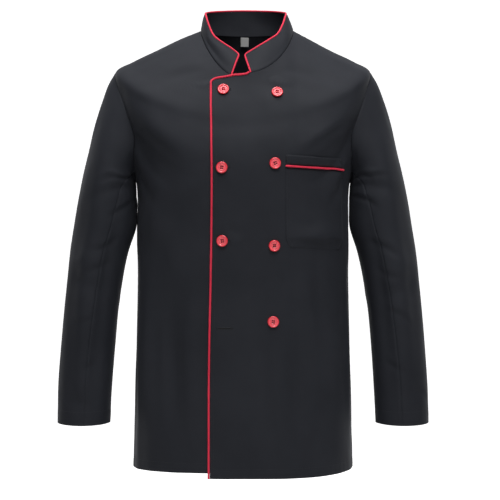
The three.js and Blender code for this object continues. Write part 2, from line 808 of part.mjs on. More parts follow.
// Piping along the front edges and the top edge of the collar.
function collarPiping() {
  const [top, end] = [COLLAR_ROWS, COLLAR_COLUMNS];
  const at = collarNode;
  const cordAt = (node, next, ends) => alongEdge(node, next, ends, COLLAR_CORD, 0);
  const right = cordAt((i) => at(i, 0), (i) => at(i, 1), [0, top]);
  const over = cordAt((j) => at(top, j), (j) => at(top - 1, j), [0, end]);
  const left = cordAt((i) => at(i, end), (i) => at(i, end - 1), [top, 0]);
  right[0].lerp(right[1], 0.22);
  left.at(-1).lerp(left.at(-2), 0.3);
  const first = roundCorner(at(top, 0), right.at(-1), over[0]);
  const last = roundCorner(at(top, end), over.at(-1), left[0]);
  const points = [...right, first, ...over, last, ...left];
  return cord("collar_piping", points, COLLAR_CORD, 1);
}

// Piping along the lap's top edge and down its front edge.
function lapPiping() {
  const top = BODY_ROWS.length - 1;
  const end = LAP_COLUMNS;
  const lift = LAP_CORD + 0.45 - LAP_LIFT - WALL / 2;
  const at = (i, j) => lapLayer(i, j, -WALL, 0);
  const cordAt = (node, next, ends) => alongEdge(node, next, ends, LAP_CORD, lift);
  const over = cordAt((j) => at(top, j), (j) => at(top - 1, j), [LAP_WIDE + 1, end]);
  const down = cordAt((i) => at(i, end), (i) => at(i, end - 1), [top, 0]);
  const corner = roundCorner(at(top, end), over.at(-1), down[0]);
  return cord("lap_piping", [...over, corner, ...down], LAP_CORD, 1.5);
}

// The value between low and high at which a rising function reaches a target.
function reach(low, high, target, rising) {
  for (let k = 0; k < 40; k += 1) {
    const middle = (low + high) / 2;
    if (rising(middle) < target) low = middle;
    else high = middle;
  }
  return (low + high) / 2;
}

const lapOuter = (i, j) => lapLayer(i, j, 0, 0).outer;
const rowAt = (j, z) => reach(0, BODY_ROWS.length - 1, z, (i) => lapOuter(i, j).z);
const columnAt = (i, x) => reach(0, LAP_COLUMNS, -x, (j) => -lapOuter(i, j).x);

// The place on the lap's grid, in fractions, that has a given x and z.
function lapPlace(x, z) {
  let [i, j] = [14, 6];
  for (let k = 0; k < 14; k += 1) {
    i = rowAt(j, z);
    j = columnAt(i, x);
  }
  return [i, j];
}

// A patch on the lap between two heights, its lower corners taken in if asked. Its grid takes the
// lap's own lines between its edges, so that it lies on the cloth.
function patch(name, top, bottom, thick, corner) {
  const { inner, outer, slope } = POCKET;
  const zAt = (edge, x) => edge - (slope * (x - inner)) / (outer - inner);
  const corners = [inner, outer].map((x) => [
    lapPlace(x + (x === inner ? corner : -corner), zAt(bottom, x)),
    lapPlace(x, zAt(top, x)),
  ]);
  const whole = (values) => {
    const [low, high] = [Math.min(...values), Math.max(...values)];
    return [Math.ceil(low + 0.1), Math.floor(high - 0.1)];
  };
  const sides = corners.map((pair) => Math.max(...pair.map(([, j]) => j)));
  const [firstColumn, lastColumn] = whole(sides);
  const lows = Math.max(...corners.map(([low]) => low[0]));
  const highs = Math.min(...corners.map(([, high]) => high[0]));
  const [firstRow, lastRow] = whole([lows, highs]);
  const rows = Math.max(0, lastRow - firstRow + 1) + 1;
  const columns = lastColumn - firstColumn + 2;
  return sheet(name, CLOTH, rows, columns, (a, b) => {
    const edge = b === 0 ? 1 : b === columns ? 0 : -1;
    const end = a === 0 ? 0 : a === rows ? 1 : -1;
    let i = firstRow + a - 1;
    let j = firstColumn + b - 1;
    if (edge >= 0 && end >= 0) [i, j] = corners[edge][end];
    else if (edge >= 0) j = columnAt(i, edge ? outer : inner);
    else if (end >= 0) {
      const z = end ? top : bottom;
      i = rowAt(j, z);
      for (let k = 0; k < 4; k += 1) i = rowAt(j, zAt(z, lapOuter(i, j).x));
    }
    const high = SEAM + (b === 0 ? 1.2 : b === 1 ? 0.75 : 0.25);
    return lapLayer(i, j, high, high + thick);
  });
}

function pocket() {
  const bandLow = POCKET.top - POCKET.band;
  const bodyTop = bandLow - POCKET.pipe - 2 * SEAM;
  const points = [];
  for (let k = 0; k <= 12; k += 1) {
    const t = k / 12;
    const z = bandLow - SEAM - POCKET.pipe / 2 - POCKET.slope * t;
    const [i, j] = lapPlace(mix(POCKET.inner, POCKET.outer, t), z);
    points.push(lapLayer(i, j, 0, SEAM + POCKET_CORD + 0.45).outer);
  }
  return [
    patch("pocket_band", POCKET.top, bandLow, WALL + 0.3, 0),
    patch("pocket_body", bodyTop, POCKET.bottom, WALL, POCKET.corner),
    cord("pocket_piping", points, POCKET_CORD, 1),
  ];
}

// A small label inside the back, sewn in at the neck seam and hanging from it.
const LABEL = { width: 14, height: 15.5, x: 2.5, below: 1.6, thick: 1, lean: 0.28 };

function label() {
  return sheet("label", GREY_TAPE, 2, 2, (i, j) => {
    const x = LABEL.x + LABEL.width * (j / 2 - 0.5);
    const v = NECK - LABEL.below;
    const high = -WALL - SEAM - 0.2;
    const top = layerOn(bodyAt, v, -angleAtX(v, x), 1.5, 0.4, high - LABEL.thick, high);
    const down = LABEL.height * (1 - i / 2);
    const way = new THREE.Vector3(0, LABEL.lean, -1).multiplyScalar(down);
    const inner = top.outer.clone().add(new THREE.Vector3(0, -LABEL.thick, 0));
    return { outer: top.outer.add(way), inner: inner.add(way) };
  });
}

// One button, its back on z = 0.
function buttonShape({ Manifold, Mesh }) {
  const { radius, thick, dish, hole, spread } = BUTTON;
  const profile = [
    [0, 0],
    [radius * 0.72, 0],
    [radius, thick * 0.4],
    [radius * 0.98, thick * 0.78],
    [radius * 0.86, thick],
    [radius * 0.68, thick - 0.2],
    [radius * 0.56, thick - dish],
    [0, thick - dish],
  ];
  const at = profile.map(([x, y]) => new THREE.Vector2(x, y));
  const lathe = new THREE.LatheGeometry(at, 16);
  lathe.rotateX(Math.PI / 2);
  let blank = toManifold(lathe, Manifold, Mesh);
  for (const [i, j] of [
    [1, 1],
    [1, -1],
    [-1, 1],
    [-1, -1],
  ]) {
    const drill = Manifold.cylinder(thick * 3, hole, hole, 6, true);
    blank = blank.subtract(drill.translate([i * spread * 0.75, j * spread * 0.75, 0]));
  }
  const mesh = blank.getMesh();
  const geometry = new THREE.BufferGeometry();
  const points = new Float32Array(mesh.vertProperties);
  geometry.setAttribute("position", new THREE.BufferAttribute(points, 3));
  geometry.setIndex([...mesh.triVerts]);
  return geometry;
}

// A closed manifold from a geometry whose seams have double points.
function toManifold(geometry, Manifold, Mesh) {
  const position = geometry.getAttribute("position");
  const seen = new Map();
  const points = [];
  const which = [];
  for (let i = 0; i < position.count; i += 1) {
    const p = [position.getX(i), position.getY(i), position.getZ(i)];
    const key = p.map((x) => Math.round(x * 1000)).join(" ");
    if (!seen.has(key)) {
      seen.set(key, points.length / 3);
      points.push(...p);
    }
    which.push(seen.get(key));
  }
  const triangles = [];
  const index = geometry.index.array;
  for (let i = 0; i < index.length; i += 3) {
    const [a, b, c] = [which[index[i]], which[index[i + 1]], which[index[i + 2]]];
    if (a !== b && b !== c && c !== a) triangles.push(a, b, c);
  }
  const mesh = new Mesh({
    numProp: 3,
    vertProperties: new Float32Array(points),
    triVerts: new Uint32Array(triangles),
  });
  mesh.merge();
  const made = new Manifold(mesh);
  if (made.volume() > 0) return made;
  for (let i = 0; i < triangles.length; i += 3) {
    [triangles[i + 1], triangles[i + 2]] = [triangles[i + 2], triangles[i + 1]];
  }
  return new Manifold(
    new Mesh({
      numProp: 3,
      vertProperties: new Float32Array(points),
      triVerts: new Uint32Array(triangles),
    }),
  );
}

async function buttons() {
  const wasm = await Module();
  wasm.setup();
  const shape = buttonShape(wasm);
  return BUTTONS.map(({ x, z }, i) => {
    const [row, column] = lapPlace(x, z);
    const { outer: high, inner: low } = lapLayer(row, column, 0, 1);
    const n = high.sub(low).normalize();
    const at = low.addScaledVector(n, SEAM + 0.1);
    const turn = new THREE.Quaternion().setFromUnitVectors(new THREE.Vector3(0, 0, 1), n);
    const geometry = shape.clone().applyQuaternion(turn).translate(at.x, at.y, at.z);
    return named(new THREE.Mesh(geometry, RED_GLOSS.clone()), `button_${i + 1}`);
  });
}

const jacket = new THREE.Group();
jacket.name = "chef_jacket";
jacket.add(back(), frontRight(), frontLeft(), collar(), ...sleeves(), ...pocket());
jacket.add(collarPiping(), lapPiping(), label(), ...(await buttons()));

export default jacket;
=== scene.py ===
"""The looks of a dark double-breasted cook's jacket, filled out as if worn.

Every cloth piece is a thin closed shell on the form of its own CAD solid, with its creases, hems and
seams. Lengths in the tables are in mm; meshes are in metres. +Z is up, the front faces -Y and the
wearer's left is +X.
"""

import logging
import math
from collections.abc import Callable, Iterable, Sequence
from dataclasses import dataclass, field
from enum import Enum

import bmesh
import bpy
import numpy as np
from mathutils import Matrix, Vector
from mathutils.geometry import delaunay_2d_cdt


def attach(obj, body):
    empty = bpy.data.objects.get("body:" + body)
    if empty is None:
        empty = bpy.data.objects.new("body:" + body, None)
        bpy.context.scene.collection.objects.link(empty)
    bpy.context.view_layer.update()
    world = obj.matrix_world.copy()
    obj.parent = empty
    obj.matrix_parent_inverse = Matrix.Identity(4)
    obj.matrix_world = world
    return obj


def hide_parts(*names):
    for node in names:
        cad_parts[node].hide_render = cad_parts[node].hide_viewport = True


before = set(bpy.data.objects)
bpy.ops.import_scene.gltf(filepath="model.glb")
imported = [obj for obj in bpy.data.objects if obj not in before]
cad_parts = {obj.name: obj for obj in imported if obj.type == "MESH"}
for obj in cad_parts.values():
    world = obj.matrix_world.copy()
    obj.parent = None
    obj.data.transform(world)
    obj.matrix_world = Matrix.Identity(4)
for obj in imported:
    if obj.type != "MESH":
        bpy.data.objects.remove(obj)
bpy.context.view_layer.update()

log = logging.getLogger("jacket")

Array = np.ndarray
Line = Callable[[Array], Array]  # a line across a piece, by the distance along it
Surface = Callable[[Array, Array], Array]
MM = 0.001

# Sizes shared by the pieces
WALL = 1.4  # one layer of twill with its turnings
COLLAR_WALL = 2.0  # two layers
RIM = 0.22  # how far the edge of a cloth piece bulges, as a part of its wall
JOIN = 0.06  # gap between two pieces at a seam
CORD_GAP = 0.36  # gap between a cord and the cloth that it is let into
LAP_LIFT = 0.6  # gap between the lap and the front beneath
LAP_CORD = 1.8  # radius of each piping
COLLAR_CORD = 1.5
POCKET_CORD = 1.6
LAP_INSET = 2 * LAP_CORD + CORD_GAP
COLLAR_INSET = 2 * COLLAR_CORD + CORD_GAP
ARMPIT, SHOULDER, NECK = 483.0, 674.0, 824.0  # stations up the side seam, from the hem at 0
LAP_DROP = 9.0  # how much lower the lap hangs at the hem
ARMHOLE_FRONT, ARMHOLE_BACK, ARMHOLE_ROUND = 68.0, 72.0, 0.6
ARMHOLE_MIDDLE = (215, 0, -165)
LAP_LIFT_FROM, LAP_LIFT_TO = 68.0, 94.0  # x between which the lap comes down to the plain front
COLLAR_END_RIGHT, COLLAR_END_LEFT = -18.0, 11.6  # x of the collar's ends on the neckline
TRUNK_DEGREE, SLEEVE_DEGREE = 2.9, 0.95  # mm round the trunk and the sleeve for one degree

# Rings of the trunk, from the hem up: station, half width, depths, heights at the side, front and back,
# squareness, how the height rises to the side, and how far the ring is shifted
TRUNK_NAMES = "half front back side_z front_z back_z square rise shift"
TRUNK_ROWS = [
    (-10, 187.8, 134, 124, -752, -749, -751, 2.35, 2, 0),
    (0, 187.6, 134, 124, -742, -739, -741, 2.35, 2, 0),
    (91, 186.4, 132, 121, -650, -650, -650, 2.35, 2, 0),
    (201, 184, 128, 114, -540, -540, -540, 2.35, 2, 0),
    (289, 182, 128, 112, -452, -452, -452, 2.35, 2, 0),
    (392, 181, 132, 117, -349, -349, -349, 2.4, 2, 0),
    (483, 183, 136, 124, -258, -258, -258, 2.4, 2, 0),
    (541, 196, 135, 126, -200, -225, -216, 2.4, 2, 0),
    (601, 210, 130, 123, -140, -192, -168, 2.4, 2, 0),
    (646, 217, 123, 117, -95, -168, -130, 2.35, 2, 0),
    (674, 218, 119, 112, -67, -152, -108, 2.3, 1.8, 0),
    (706, 190, 113, 103, -50, -133, -82, 2.2, 1.6, 0.5),
    (751, 150, 105, 88, -30.5, -113, -48, 2.1, 1.5, 0.5),
    (793, 109, 98, 73, -9.5, -95, -17, 2.05, 1.4, 3),
    (824, 80, 93, 62, 4, -79, 2, 2, 1.3, 7),
    (834, 72, 91, 58, 8, -73, 9, 2, 1.3, 8),
]
# The lap's edge: station and x
LAP_EDGE_ROWS = [
    (-10, -57.4),
    (0, -57.4),
    (211, -56.4),
    (330, -54),
    (471, -52.4),
    (640, -53.6),
    (760, -54.5),
    (824, -54.5),
]
# How far the necklines of the lap and of the front beneath are cut down: x and drop
LAP_TOP_ROWS = [
    (-60, 72),
    (-54.5, 66),
    (-50, 52),
    (-45, 42),
    (-34.5, 32),
    (-13, 14),
    (10.4, 5),
    (11.6, 0),
    (200, 0),
]
UNDER_TOP_ROWS = [
    (-200, 0),
    (-68, 0),
    (-58, 1.2),
    (-47, 4),
    (-36, 8),
    (-27, 11.8),
    (-18, 15.5),
    (-16.8, 18),
    (0, 22),
    (20, 18),
    (60, 12),
]

# Rings of the sleeve: outer and inner point, middle, depths and how far the front dips
SLEEVE_NAMES = "out_x out_z in_x in_z y front back dip"
SLEEVE_ROWS = [
    (0, 218, -67, 183, -257.6, 0, 68, 72, 0),
    (20, 228.5, -84, 184, -257.7, 0, 68, 72, 0),
    (57, 241.5, -119, 184.4, -258.2, 0, 69, 72, 0),
    (100, 254.5, -161, 184.2, -260, 0, 70, 72, 0),
    (146, 265, -205, 183.5, -266, 0, 71, 71, 0),
    (188, 275, -246, 182.8, -280, 0, 71, 70, 0),
    (230, 283, -287, 182.1, -303, -1, 69, 69, 0),
    (276, 290, -333, 183.8, -336, -2, 66, 67, 0),
    (314, 296, -371, 196, -374, -3, 63, 65, 0),
    (383, 303, -440, 209.4, -441, -5, 58, 61, 0),
    (478, 311.5, -535, 219, -535, -10, 51, 53, 0),
    (548, 316, -609, 224, -609, -15, 47, 49, 1),
    (600, 316.8, -667, 227, -667, -18, 45, 46, 2),
]
# The sleeve's front and back seams: distance down it and degrees round it
SLEEVE_SEAM_ROWS = [
    (0, -144, 126),
    (110, -138, 124),
    (200, -119, 121),
    (260, -109, 119),
    (380, -103, 116),
    (480, -98, 110),
    (600, -94, 105),
]
# Height of the collar's top edge, by degrees from the side to the front, on either side
COLLAR_TOP_ROWS = [
    (0, 36, 36),
    (11, 30, 30),
    (26, 11, 12),
    (38, -6, -4),
    (53, -19, -15),
    (70, -32, -27.2),
    (83, -43.5, -37),
    (95, -46.5, -46),
]

# Broad folds, a little deeper than the solids': from (angle, station) to (angle, station), half width and
# height. The trunk's are in degrees round it, -90 in front.
TRUNK_FOLDS = [
    (-152, 590, -122, 480, 26, -5.5),
    (-146, 648, -114, 540, 30, 3.6),
    (-148, 440, -128, 380, 24, 2.4),
    (-28, 590, -56, 480, 26, -5.2),
    (-34, 648, -64, 540, 30, 3.4),
    (-150, 330, -142, 60, 24, 5.2),
    (-129, 300, -125, 40, 20, -5.2),
    (-60, 270, -64, 20, 20, -5.0),
    (-38, 300, -32, 30, 24, 5.4),
    (-8, 330, -12, 60, 20, -5.4),
    (-172, 330, -168, 60, 20, -5.6),
    (40, 330, 48, 20, 24, 5.4),
    (62, 290, 66, 0, 20, -4.6),
    (96, 300, 92, 10, 26, 4.9),
    (122, 340, 116, 40, 20, -4.9),
    (146, 320, 140, 30, 24, 4.9),
    (34, 585, 60, 470, 24, -4.1),
    (146, 585, 120, 470, 24, -4.1),
    (60, 640, 120, 640, 18, -2.4),
    (70, 350, 112, 330, 16, -3.5),
]
SLEEVE_FOLDS_LEFT = [
    (-150, 150, -60, 215, 12, -2.6),
    (40, 330, 150, 360, 13, -3.2),
    (60, 370, 170, 392, 13, 2.8),
    (-120, 395, -40, 372, 13, -2.8),
    (-100, 330, -20, 344, 14, 2.0),
    (20, 520, 110, 545, 13, -2.2),
    (-90, 560, -20, 540, 12, -2.0),
    (30, 120, 100, 190, 18, -2.4),
]
SLEEVE_FOLDS_RIGHT = [
    (-146, 160, -66, 225, 12, -2.6),
    (50, 318, 160, 352, 13, -3.2),
    (50, 380, 165, 405, 13, 2.8),
    (-124, 388, -46, 362, 13, -2.8),
    (-96, 322, -24, 340, 14, 2.0),
    (30, 505, 120, 536, 13, -2.2),
    (-100, 570, -30, 556, 12, -2.2),
    (36, 130, 104, 196, 18, -2.4),
]

# Creases, given one by one: from, to, sideways bend, half width and height
TRUNK_CREASES = [
    (-151, 566, -128, 470, 9, 12, -2.5),
    (-147, 604, -122, 530, -6, 11, -1.7),
    (-157, 520, -140, 440, 6, 9, -1.7),
    (-128, 792, -138, 706, 8, 15, -1.9),
    (-112, 792, -118, 744, -4, 11, 1.3),
    (-116, 330, -115, 24, 5, 16, 4.2),
    (-160, 280, -155, 30, -8, 17, 5.0),
    (-138, 270, -136, 80, 4, 12, -3.2),
    (-99, 404, -88, 398, 3, 9, -1.3),
    (-31, 566, -53, 474, -9, 12, -2.5),
    (-35, 606, -60, 545, 6, 11, -1.7),
    (-24, 520, -42, 436, -6, 9, -1.9),
    (-52, 794, -42, 706, -8, 15, -1.9),
    (-66, 790, -60, 742, 4, 11, 1.3),
    (-50, 356, -45, 216, 5, 12, -3.8),
    (-76, 300, -73, 34, -5, 15, 4.0),
    (-21, 300, -18, 44, 8, 15, 4.8),
    (-55, 128, -32, 112, 6, 11, -1.3),
    (-92, 240, -94, 170, 3, 9, -1.5),
    (-12, 452, -2, 350, 6, 11, -3.1),
    (-169, 448, -178, 346, -6, 11, -3.1),
    (8, 420, 22, 300, 8, 12, 3.1),
    (172, 424, 158, 292, -8, 12, 3.1),
    (27, 604, 45, 498, 10, 12, -3.0),
    (33, 560, 58, 452, 6, 9, -2.3),
    (153, 598, 134, 502, -10, 12, -3.0),
    (147, 552, 122, 456, -6, 9, -2.3),
    (66, 664, 84, 588, 8, 15, -2.3),
    (116, 660, 98, 594, -9, 15, -2.3),
    (91, 560, 88, 392, 6, 18, -2.8),
    (44, 372, 84, 342, 10, 12, -3.0),
    (140, 380, 98, 348, -12, 12, -3.0),
    (52, 338, 82, 322, 7, 9, 2.1),
    (132, 342, 104, 324, -7, 9, 2.1),
    (51, 262, 55, 26, 6, 15, -3.8),
    (79, 274, 76, 8, -6, 16, -3.8),
    (106, 250, 109, 20, 5, 15, -4.1),
    (131, 272, 134, 30, -6, 15, -3.6),
    (90, 806, 92, 740, 3, 16, -1.5),
]
SLEEVE_CREASES_LEFT = [
    (-148, 96, -104, 176, 6, 6, -1.9),
    (-132, 128, -70, 176, -5, 6, -1.4),
    (-160, 190, -96, 240, 5, 6, -1.9),
    (152, 120, 104, 200, 6, 7, -2.2),
    (170, 178, 120, 236, -6, 7, -1.9),
    (-30, 40, -22, 116, 4, 9, -1.2),
    (32, 44, 28, 130, -4, 9, -1.2),
    (-134, 300, -72, 330, 7, 6, -2.2),
    (-126, 346, -58, 362, -6, 6, -1.7),
    (-112, 418, -64, 442, 5, 6, -1.6),
    (58, 296, 128, 318, 8, 6, -2.3),
    (66, 342, 144, 352, -5, 6, -2.0),
    (72, 412, 136, 432, 6, 7, -1.7),
    (-8, 362, 38, 382, 4, 7, -1.2),
    (150, 470, 96, 500, 6, 7, -1.6),
    (-128, 500, -78, 520, -4, 6, -1.3),
    (-58, 552, -18, 566, 3, 6, -1.2),
    (40, 566, 92, 556, 4, 7, -1.2),
    (-72, 120, -84, 560, 4, 15, 3.6),
    (-112, 190, -114, 580, -5, 13, -3.8),
]
SLEEVE_CREASES_RIGHT = [
    (-146, 90, -108, 168, -6, 6, -1.7),
    (-136, 138, -76, 190, 5, 6, -1.6),
    (-158, 200, -100, 256, -4, 6, -1.9),
    (150, 128, 108, 208, -6, 7, -2.2),
    (172, 186, 116, 250, 5, 7, -1.7),
    (-28, 44, -24, 130, -4, 9, -1.2),
    (30, 50, 34, 118, 4, 9, -1.2),
    (-130, 292, -76, 316, -6, 6, -2.0),
    (-128, 338, -62, 368, 6, 6, -1.9),
    (-110, 426, -60, 438, -5, 6, -1.4),
    (62, 304, 132, 330, -6, 6, -2.2),
    (60, 350, 140, 364, 6, 6, -2.0),
    (76, 420, 130, 446, -6, 7, -1.7),
    (-4, 372, 40, 360, -4, 7, -1.2),
    (148, 478, 100, 514, -5, 7, -1.6),
    (-124, 508, -80, 522, 5, 6, -1.3),
    (-106, 574, -60, 560, 4, 6, -1.4),
    (44, 560, 90, 572, -4, 7, -1.2),
    (-74, 130, -86, 550, 5, 15, 3.4),
    (-114, 190, -112, 570, -4, 13, -3.8),
]

# Buttons: x and z on the lap, and how far each is turned, in degrees. The lowest place of the first
# column has only its buttonhole.
BUTTON_PLACES = [
    (-32, -108),
    (-34, -238),
    (-33, -358),
    (57, -113),
    (53, -231),
    (51.6, -366),
    (49.5, -491),
]
BUTTON_TURNS = [4, -11, 7, -3, 16, 2, -8]
BUTTONHOLE_PLACES = [(-32, -108), (-34, -238), (-33, -358), (-29.5, -502)]


class Side(Enum):
    """The wearer's side of a sleeve."""

    LEFT = 1
    RIGHT = -1


class Edge(Enum):
    """The four edges of a panel's grid."""

    BOTTOM = "bottom"
    TOP = "top"
    FIRST = "first"
    LAST = "last"


class Make(Enum):
    """How an edge of a panel is made up."""

    SEAM = "sewn into a seam"
    HEM = "turned up and stitched"
    PIPED = "piped and topstitched"
    PATCH = "turned in and sewn flat"
    RAW = "plain fold"


def mix(a: Array | float, b: Array | float, t: Array | float) -> Array:
    """Goes from a to b as t goes from 0 to 1."""
    return a + (b - a) * t


def ease(x: Array | float, low: float, high: float) -> Array:
    """A smooth step from 0 at low to 1 at high."""
    t = np.clip((np.asarray(x, float) - low) / (high - low), 0, 1)
    return t * t * (3 - 2 * t)


def hump(x: Array, middle: float, wide: float) -> Array:
    """A smooth hump of height 1 at the middle."""
    return np.exp(-(((x - middle) / wide) ** 2))


def unit(v: Array) -> Array:
    """Vectors of length 1 along the last axis."""
    return v / np.maximum(np.linalg.norm(v, axis=-1, keepdims=True), 1e-12)


def stations(length: float, step: float, first: bool = True, last: bool = True) -> Array:
    """Fractions of a length, evenly apart and closer together at its ends.

    Args:
        length: The length, in mm.
        step: The distance between stations away from the ends.
        first: Whether the start has close stations.
        last: Whether the end has them.

    Returns:
        Rising fractions from 0 to 1.
    """
    near = np.array([0.0, 0.5, 1.1, 1.9, 3.0, 4.6])
    start = near if first else near[:1]
    end = near if last else near[:1]
    inner = np.linspace(start[-1], length - end[-1], max(2, round(length / step)))[1:-1]
    return np.concatenate([start, inner, (length - end)[::-1]]) / length


class Curves:
    """Smooth curves through the rows of a table, one for each named column after the first."""

    def __init__(self, names: str, rows: Sequence[Sequence[float]]) -> None:
        """Works out the slopes at the rows.

        Args:
            names: The names of the columns after the first, with spaces between.
            rows: The rows, the first column rising.
        """
        table = np.array(rows, float)
        self.key = table[:, 0]
        gaps = np.diff(self.key)
        self.columns = {}
        for name, values in zip(names.split(), table[:, 1:].T):
            steps = np.diff(values) / gaps
            inner = (steps[:-1] * gaps[1:] + steps[1:] * gaps[:-1]) / (gaps[1:] + gaps[:-1])
            self.columns[name] = (values, np.concatenate([steps[:1], inner, steps[-1:]]))

    def at(self, name: str, x: Array | float) -> Array:
        """The named curve's value at x."""
        values, slopes = self.columns[name]
        x = np.asarray(x, float)
        i = np.clip(np.searchsorted(self.key, x) - 1, 0, len(self.key) - 2)
        h = self.key[i + 1] - self.key[i]
        t = (x - self.key[i]) / h
        a = (1 + 2 * t) * (1 - t) ** 2
        b = t * (1 - t) ** 2
        c = t * t * (3 - 2 * t)
        d = t * t * (t - 1)
        return a * values[i] + b * h * slopes[i] + c * values[i + 1] + d * h * slopes[i + 1]


def broken_line(rows: Sequence[tuple[float, float]], x: Array | float) -> Array:
    """Straight lines between the rows of a two-column table."""
    table = np.array(rows, float)
    return np.interp(x, table[:, 0], table[:, 1])


def off_line(
    ends: Sequence[float], scale: float, angle: Array, along: Array
) -> tuple[Array, Array, Array]:
    """How places on a round piece lie to a straight line drawn on it.

    Args:
        ends: Degrees and distance along the piece, of the line's start and then of its end.
        scale: How many mm one degree round the piece is.
        angle: Degrees round the piece.
        along: Distance along it, in mm.

    Returns:
        The part of the line reached, the distance off it and the distance past its nearer end.
    """
    a0, l0, a1, l1 = ends
    x = (angle - a0 - 360 * np.round((angle - a0) / 360)) * scale
    y = along - l0
    dx, dy = (a1 - a0) * scale, l1 - l0
    length = math.hypot(dx, dy)
    t = (x * dx + y * dy) / length**2
    off = (x * dy - y * dx) / length
    return t, off, np.maximum(0, np.maximum(-t, t - 1)) * length


def fold_heights(folds: Iterable[tuple], scale: float, angle: Array, along: Array) -> Array:
    """Height of broad folds at places on a round piece.

    Args:
        folds: Rows of the fold tables.
        scale: How many mm one degree round the piece is.
        angle: Degrees round the piece.
        along: Distance along it, in mm.

    Returns:
        The height above the plain form, in mm.
    """
    height = np.zeros(np.broadcast(angle, along).shape)
    for *ends, width, depth in folds:
        t, off, over = off_line(ends, scale, angle, along)
        middle = np.sin(np.pi * np.clip(t * 0.8 + 0.1, 0, 1))
        height += depth * middle * np.exp(-(off**2 + over**2) / width**2)
    return height


def crease_heights(creases: Iterable[tuple], scale: float, angle: Array, along: Array) -> Array:
    """Height of narrow bent creases, each with a soft shoulder on one side of it.

    Args:
        creases: Rows of the crease tables.
        scale: How many mm one degree round the piece is.
        angle: Degrees round the piece.
        along: Distance along it, in mm.

    Returns:
        The height above the folded form, in mm.
    """
    height = np.zeros(np.broadcast(angle, along).shape)
    for *ends, bend, width, depth in creases:
        t, off, over = off_line(ends, scale, angle, along)
        bent = off - bend * 4 * t * (1 - t)
        bent = np.where((t < -0.3) | (t > 1.3), 1e3, bent)  # the bend's curve ends soon after the crease
        taper = np.sin(np.pi * np.clip(t * 0.86 + 0.07, 0, 1)) ** 1.2
        shoulder = 0.5 * hump(bent, 1.7 * width, 1.25 * width)
        height += depth * taper * (hump(bent, 0, width) - shoulder) * hump(over, 0, width)
    return height


@dataclass(frozen=True)
class Slack:
    """Faint unevenness of hanging cloth: long waves of fixed random size and direction."""

    seed: int
    height: float = 0.35
    count: int = 10

    def at(self, across: Array, along: Array) -> Array:
        """Height at places given in mm across and along the piece."""
        rng = np.random.default_rng(self.seed)
        total = np.zeros(np.broadcast(across, along).shape)
        for _ in range(self.count):
            wide, long = rng.uniform(34, 110), rng.uniform(110, 420)
            phase, tilt = rng.uniform(0, 2 * np.pi), rng.choice([-1, 1])
            total += np.sin(2 * np.pi * (across / wide + tilt * along / long) + phase)
        return total * self.height / math.sqrt(self.count)


def normals_of(surface: Surface, u: Array, v: Array, du: float, dv: float) -> Array:
    """Normals of a surface, from small steps in its two parameters."""
    across = surface(u, v + dv) - surface(u, v - dv)
    up = surface(u + du, v) - surface(u - du, v)
    return unit(np.cross(across, up))


